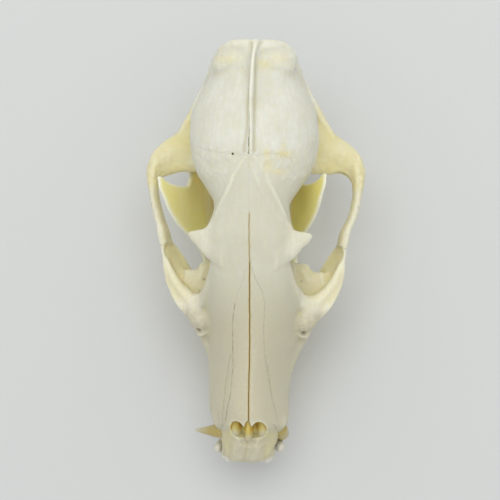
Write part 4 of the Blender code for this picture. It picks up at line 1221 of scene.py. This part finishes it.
def enamel(name, tip, neck, reach):
    """Glossy enamel, pale at the tip and stained towards the gum."""
    finish, tree, shader, place = blank_finish(name)
    clouds = noisy(tree, place, 260.0, 2.0)
    lines = noisy(tree, place, 2200.0, 2.0)
    crown = node(tree, "Attribute", attribute_name="crown").outputs["Fac"]
    shift = node(tree, "Math", operation="MULTIPLY_ADD", in_0=clouds, in_1=0.3, in_2=crown)
    base = mixed(tree, scaled(tree, shift.outputs[0], 0.2, 0.2 + reach), neck, tip)
    base = mixed(tree, scaled(tree, clouds, 0.45, 0.75, 0.0, 0.1), base, neck)
    tree.links.new(base, shader.inputs["Base Color"])
    tree.links.new(scaled(tree, clouds, 0.3, 0.7, 0.18, 0.34), shader.inputs["Roughness"])
    shader.inputs["IOR"].default_value = 1.6
    relief = node(tree, "Bump", in_Strength=0.05, in_Distance=0.00004, in_Height=lines)
    tree.links.new(relief.outputs[0], shader.inputs["Normal"])
    return finish


def toothed(name, forms, gum, up, height, finish, carrier):
    """A row of teeth as one piece that rides on the skull."""
    row = piece_of(name, forms)
    places = surface(row)[0]
    crown = (places[:, 2] - gum) * up / height
    if carrier == "cranium":
        crown = np.maximum(crown, ramp(places[:, 1], -60.0, -62.0))
        places = swayed(places)
    marked(row, "crown", crown)
    moved(row, bent(places))
    row.data.materials.append(finish)
    row.data.shade_smooth()
    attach(row, "root")
    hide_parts(carrier)
    return row


upper_enamel = enamel("upper_enamel", colour(228, 221, 208), colour(198, 192, 158), 0.5)
canine_enamel = enamel("canine_enamel", colour(202, 200, 176), colour(178, 160, 92), 0.8)
for word, flips in (("left", False), ("right", True)):
    row = [cheek_tooth(tooth, GUM_HEIGHT, -1) for tooth in UPPER_TEETH]
    row += [incisor(tooth, GUM_HEIGHT, -1) for tooth in UPPER_INCISORS]
    row.append(barred(UPPER_CORNER_INCISOR, 24, 24))
    canine = barred(LOOSE_CANINE if flips else UPPER_CANINE, 40, 28)
    if flips:
        row = [flipped(form) for form in row]
    toothed(
        f"upper_teeth_{word}", row, GUM_HEIGHT, -1, CROWN_HEIGHT, upper_enamel,
        "cranium",
    )
    neck_height, crown_height = (LOOSE_NECK, LOOSE_CROWN) if flips else (GUM_HEIGHT, CANINE_HEIGHT)
    toothed(
        f"upper_canine_{word}", [canine], neck_height, -1, crown_height, canine_enamel,
        "cranium",
    )

# Lower jaw
# Two halves of dry bone that meet at the chin with a rough seam. Each has a tall thin plate behind
# the teeth, which stands up inside the cheekbone, and a knuckle that turns under the arch's root.

JAW_GUM_HEIGHT = 14.0
JAW_GRAIN = 0.36
JAW_BROAD_WAVES = (5.0, 0.20)
JAW_FINE_WAVES = (1.2, 0.06)
LOWER_CANINE_HEIGHT = 10.0
# The plate's outline, y and z
RAMUS_OUTLINE = (
    (-8, 9), (-4.2, 15.6), (0.6, 20), (4.2, 27.6), (8.4, 36), (12.8, 43.2), (17.2, 48.2),
    (21.2, 50.8), (24, 51.3), (24.2, 50.2), (22.8, 47.4), (22, 43.6), (21.7, 39.4), (22, 35),
    (26, 31.8), (30, 28.5), (27.6, 24), (27, 18.5), (28.4, 14), (31.2, 10.6), (30.4, 9), (25, 8.2),
    (20, 6), (17.4, 1.6), (13, -0.3), (7.5, 0.9), (1, 2.6),
)
JAW_BODY = (
    Bar(0, -58.6, 12.4, 1.9, 2),
    Bar(0, -55.5, 11, 3.5, 3.5),
    Bar(0, -51, 9.4, 4.7, 4),
    Bar(0, -46, 8.3, 5.5, 3.4),
    Bar(0, -40, 7.5, 6.3, 3),
    Bar(0, -32, 6.8, 7, 3),
    Bar(0, -24, 6.9, 7.2, 3.1),
    Bar(0, -14, 7.5, 7.1, 3),
    Bar(0, -5, 8.6, 6.7, 2.7),
    Bar(0, 4, 9.8, 5.6, 2),
    Bar(0, 11, 9.8, 4, 1.3),
)
CORONOID_RIM = (
    Bar(0.3, -4.6, 13.6, 1.6, 1.8),
    Bar(0.4, 0.8, 19, 1.4, 1.5),
    Bar(0.4, 4.9, 27.8, 1.1, 1.1),
    Bar(0.3, 9, 35.8, 0.9, 0.8),
    Bar(0.2, 13.6, 43.2, 0.8, 0.7),
    Bar(0.1, 18, 48, 0.7, 0.6),
    Bar(0, 22.4, 50.4, 0.5, 0.5),
)
JAW_LOWER_RIM = (
    Bar(0, 2, 4.2, 1.6, 1.8),
    Bar(0, 9, 2.6, 1.6, 1.7),
    Bar(0, 14.5, 2, 1.6, 1.6),
    Bar(0, 19, 7.4, 1.6, 1.5),
    Bar(-0.4, 25, 10, 1.7, 1.6),
    Bar(-1, 30, 10.2, 1, 1.2),
)
KNUCKLE_NECK = (
    Bar(0.4, 12, 20, 1.4, 1.3),
    Bar(0.2, 20, 24.5, 1.8, 1.5),
    Bar(0, 26, 28.2, 2.4, 1.7),
    Bar(0, 28.4, 29.8, 1.8, 2.4),
)
RAMUS_HALF_THICKNESS = 0.6
# y, how far out the half jaw lies there, and how strongly it curves outwards with its height
JAW_PLAN = (
    (-60, 2.2, 0), (-55.5, 3.4, 0), (-51, 4.2, 0), (-46, 5.6, 0), (-40, 7.3, 0), (-34, 8.4, 0),
    (-24, 10.2, 0), (-14, 11.6, 0.001), (-4, 12.4, 0.004), (4, 12.5, 0.0072), (8.6, 13, 0.0078),
    (13, 13.5, 0.0067), (17.4, 13.8, 0.0058), (21, 13.7, 0.0059), (25, 13.6, 0.0060),
    (32, 18.6, 0.0030),
)
BODY_LEAN = 0.06
LOWER_SLICER = (
    Cusp(-0.62, 0, 0.74, 0.5),
    Cusp(-0.12, 0.1, 1, 0.55),
    Cusp(0.62, 0.35, 0.5, 0.42),
    Cusp(0.62, -0.35, 0.44, 0.42),
)
LOWER_TEETH = (
    Tooth("first_premolar", -49.6, 7, 2.8, 2.2, 2.4, BLADE, 0),
    Tooth("second_premolar", -44.8, 7.4, 5, 2.5, 3.8, BLADE, -3),
    Tooth("third_premolar", -39, 8.1, 5.8, 2.7, 4.2, BLADE, -6),
    Tooth("fourth_premolar", -32.2, 9.1, 6.8, 3, 4.6, BLADE, -8),
    Tooth("carnassial", -22.4, 10.7, 12.4, 4.4, 6.4, LOWER_SLICER, -6),
    Tooth("second_molar", -12.4, 12, 6.6, 5, 3.6, GRINDER, -4),
    Tooth("third_molar", -7.7, 12.5, 2.9, 2.8, 2.6, BLADE, 0),
)
LOWER_INCISORS = (
    Tooth("first_incisor", -58, 1.25, 1.8, 1.9, 4, (), 0),
    Tooth("second_incisor", -57.7, 3.2, 2, 2.1, 4.2, (), 10),
    Tooth("third_incisor", -56.9, 5.2, 2.2, 2.2, 4.4, (), 26),
)
LOWER_CANINE = (
    Bar(6, -52.8, 9.5, 2.2, 1.8),
    Bar(6.6, -54.8, 14, 2.5, 1.9),
    Bar(7.9, -56.6, 18.4, 2, 1.7),
    Bar(9, -57.7, 22, 1.9, 1.5),
    Bar(9.6, -58.1, 24.2, 1.6, 1.2),
    Bar(9.8, -58.2, 25.3, 0.6, 0.5),
)


def plated(outline, half_thickness, steps):
    """A flat plate in the Y-Z plane with a smooth closed outline, as thick as twice the half."""
    points = np.array(outline + outline[:3])
    keys = np.arange(len(points))
    rim = smooth(keys, points, np.linspace(1, len(outline) + 1, steps * len(outline) + 1)[:-1])
    rings = [[(x, y, z) for y, z in rim] for x in (-half_thickness, half_thickness)]
    return loft(rings)


def bent_to_plan(piece):
    """The flat half jaw moved out from the midline, to its plan and its lean."""
    points, ways = surface(piece)
    plan = np.array(JAW_PLAN)
    out, curve = smooth(plan[:, 0], plan[:, 1:], points[:, 1]).T
    rise = points[:, 2] - JAW_GUM_HEIGHT
    points[:, 0] += out + BODY_LEAN * rise + curve * np.maximum(rise, 0) ** 2
    moved(piece, points)
    return piece


def swung(piece, name, flips):
    """A half jaw of either side, swung with the jaw, as a piece of its own."""
    form = bmesh.new()
    form.from_mesh(piece.data)
    return piece_of(name, [skewed(flipped(form) if flips else form)])


flat_forms = [
    barred(JAW_BODY, 90, 36),
    plated(RAMUS_OUTLINE, RAMUS_HALF_THICKNESS, 12),
    barred(CORONOID_RIM, 50, 20),
    barred(JAW_LOWER_RIM, 40, 20),
    barred(KNUCKLE_NECK, 30, 20),
]
half_jaw = bent_to_plan(fused(piece_of("half_jaw", flat_forms), JAW_GRAIN, 4))
knuckle_form = bmesh.new()
knuckle_form.from_mesh(half_jaw.data)
half_with_knuckle = piece_of("half_with_knuckle", [knuckle_form, balled(JAW_KNUCKLE)])
bpy.data.objects.remove(half_jaw)
largest_only(fused(half_with_knuckle, JAW_GRAIN, 3))
weathered(half_with_knuckle, *JAW_BROAD_WAVES)
weathered(half_with_knuckle, *JAW_FINE_WAVES)

# The hollow where the jaw muscle sat, and the nerve holes on both faces
MUSCLE_HOLLOW = (11.0, 24.0, 8.0, 13.0)  # its middle, y and z, and its reach along each
MUSCLE_DEPTH = 0.55
# y, z, radius, and the face that it is in: 1 the outer, -1 the inner
JAW_HOLES = ((-42.0, 8.6, 1.0, 1), (-34.0, 7.6, 0.8, 1), (11.0, 17.5, 1.3, -1))
JAW_HOLE_DEPTH = 1.1
JAW_STAIN = 0.85
RIGHT_STAIN = 0.7
LOWEST = 0.01
places, ways = surface(half_with_knuckle)
y, z = places[:, 1], places[:, 2]
middle_y, middle_z, reach_y, reach_z = MUSCLE_HOLLOW
inside = 1 - ((y - middle_y) / reach_y) ** 2 - ((z - middle_z) / reach_z) ** 2
lift = -MUSCLE_DEPTH * ramp(inside, 0.0, 0.5) * ramp(ways[:, 0], 0.3, 0.7)
# Painted shade inside the jaw's nerve holes.
painted_shade = np.zeros(len(places))
for hole_y, hole_z, radius, faces in JAW_HOLES:
    away = np.hypot(y - hole_y, z - hole_z)
    share = swell(away, radius * 0.75) * ramp(ways[:, 0] * faces, 0.2, 0.5)
    lift -= JAW_HOLE_DEPTH * share
    painted_shade = np.maximum(painted_shade, 0.75 * share)
places += ways * lift[:, None]
places[:, 2] = np.maximum(places[:, 2], LOWEST)
places[:, 0] = np.maximum(places[:, 0], GAP / 2)
moved(half_with_knuckle, places)
inner_face = ramp(ways[:, 0], -0.1, -0.7)
ochre = (0.35 + 0.65 * ramp(z, 6.0, 22.0)) * inner_face * ramp(np.abs(ways[:, 0]), 0.3, 0.8)
MARKS = {
    "ochre": ochre * JAW_STAIN, "deep": np.zeros(len(places)), "painted_shade": painted_shade,
    "midline": np.ones(len(places)), "midline_tone": np.zeros(len(places)),
    "seam": np.ones(len(places)), "seam_tone": np.zeros(len(places)),
    # On the jaw the pale mark is a painted highlight on the upper rims of its plates, the faces that
    # look up rather than to the side.
    "pale": 0.8 * ramp(z, 18.0, 26.0) * ramp(np.abs(ways[:, 0]), 0.7, 0.35),
    "highlight_and_hollow_stain": np.maximum(standing_out(half_with_knuckle, HIGHLIGHT_RELIEF_ROUNDS) / HIGHLIGHT_RELIEF_HEIGHT, -0.5),
}
# The front tone is darker than the rear partly as painted shade.
half_with_knuckle.data.materials.append(dry_bone(
    "jaw_bone", colour(242, 238, 214), colour(240, 234, 204), colour(214, 207, 176),
    colour(230, 220, 176), colour(255, 232, 146), colour(246, 242, 218), 0.8,
))

lower_enamel = enamel("lower_enamel", colour(214, 211, 196), colour(192, 180, 128), 0.5)
for word, flips in (("left", False), ("right", True)):
    jaw = swung(half_with_knuckle, f"jaw_bone_{word}", flips)
    jaw.data.materials.append(half_with_knuckle.data.materials[0])
    for kind, values in MARKS.items():
        share = RIGHT_STAIN if flips and kind == "ochre" else 1.0
        marked(jaw, kind, values * share, low=-1.0)
    moved(jaw, bent(surface(jaw)[0]))
    jaw.data.shade_smooth()
    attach(jaw, "root")
    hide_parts(f"jaw_{word}")

    row = [cheek_tooth(tooth, JAW_GUM_HEIGHT, 1) for tooth in LOWER_TEETH]
    row += [incisor(tooth, JAW_GUM_HEIGHT, 1) for tooth in LOWER_INCISORS]
    canine = barred(LOWER_CANINE, 36, 24)
    if flips:
        row = [flipped(form) for form in row]
        canine = flipped(canine)
    row = [skewed(form) for form in row]
    toothed(
        f"lower_teeth_{word}", row, JAW_GUM_HEIGHT, 1, CROWN_HEIGHT, lower_enamel,
        f"jaw_{word}",
    )
    toothed(
        f"lower_canine_{word}", [skewed(canine)], JAW_GUM_HEIGHT, 1, LOWER_CANINE_HEIGHT,
        lower_enamel, f"jaw_{word}",
    )
bpy.data.objects.remove(half_with_knuckle)

# Floor
# A plain sheet of pale grey card, matt, much larger than the skull. It is cut square and laid flat.

FLOOR_SIDE = 3000.0
sheet = bmesh.new()
bmesh.ops.create_grid(sheet, x_segments=8, y_segments=8, size=FLOOR_SIDE / 2 * MM)
floor = piece_of("floor", [sheet])
card, card_tree, card_shader, card_place = blank_finish("pale_card")
fibres = noisy(card_tree, card_place, 1200.0, 3.0)
speckle = mixed(card_tree, fibres, colour(212, 214, 213), colour(214, 216, 215))
card_tree.links.new(speckle, card_shader.inputs["Base Color"])
card_shader.inputs["Roughness"].default_value = 0.9
card_shader.inputs["Specular IOR Level"].default_value = 0.1
floor.data.materials.append(card)

# Light
# One large soft box above and behind the back of the skull, and pale light from all round.

ROOM_LIGHT = 0.72
LAMP_PLACE = (15.0, 260.0, 720.0)
LAMP_AIM = (0.0, 10.0, 20.0)
LAMP_WIDTH = 480.0
LAMP_LENGTH = 380.0
LAMP_WATTS = 2.1
room = bpy.data.worlds.new("room")
bpy.context.scene.world = room
room.use_nodes = True
room.node_tree.nodes["Background"].inputs["Color"].default_value = (1.0, 1.0, 1.0, 1.0)
room.node_tree.nodes["Background"].inputs["Strength"].default_value = ROOM_LIGHT
lamp = bpy.data.lights.new("soft_box", "AREA")
lamp.shape = "RECTANGLE"
lamp.size = LAMP_WIDTH * MM
lamp.size_y = LAMP_LENGTH * MM
lamp.energy = LAMP_WATTS
soft_box = bpy.data.objects.new("soft_box", lamp)
bpy.context.scene.collection.objects.link(soft_box)
soft_box.location = Vector(LAMP_PLACE) * MM
soft_box.rotation_euler = (Vector(LAMP_PLACE) - Vector(LAMP_AIM)).to_track_quat("Z", "Y").to_euler()

# Camera
# It looks straight down at the middle of the skull, from a little to the animal's left.

CAMERA_TILT = 3.46  # degrees
CAMERA_ROLL = 1.17  # degrees
AIM_BACK = 2.5
AIM_HEIGHT = 40.0
CAMERA_SHIFT = -0.52
CAMERA_DISTANCE = 410.0
FOCAL_PIXELS = 1387.0
PICTURE_PIXELS = 500.0
SENSOR = 36.0
NEAREST = 20.0
tilt = math.radians(CAMERA_TILT)
camera = bpy.data.cameras.new("camera")
camera.sensor_width = SENSOR
camera.lens = FOCAL_PIXELS * SENSOR / PICTURE_PIXELS
camera.clip_start = NEAREST * MM
viewer = bpy.data.objects.new("camera", camera)
bpy.context.scene.collection.objects.link(viewer)
viewer.matrix_world = (
    Matrix.Translation(Vector((
        CAMERA_SHIFT * math.cos(tilt) + CAMERA_DISTANCE * math.sin(tilt),
        AIM_BACK,
        AIM_HEIGHT - CAMERA_SHIFT * math.sin(tilt) + CAMERA_DISTANCE * math.cos(tilt),
    )) * MM)
    @ Matrix.Rotation(tilt, 4, "Y")
    @ Matrix.Rotation(math.radians(CAMERA_ROLL), 4, "Z")
)
bpy.context.scene.camera = viewer
bpy.context.scene.view_settings.view_transform = "Standard"
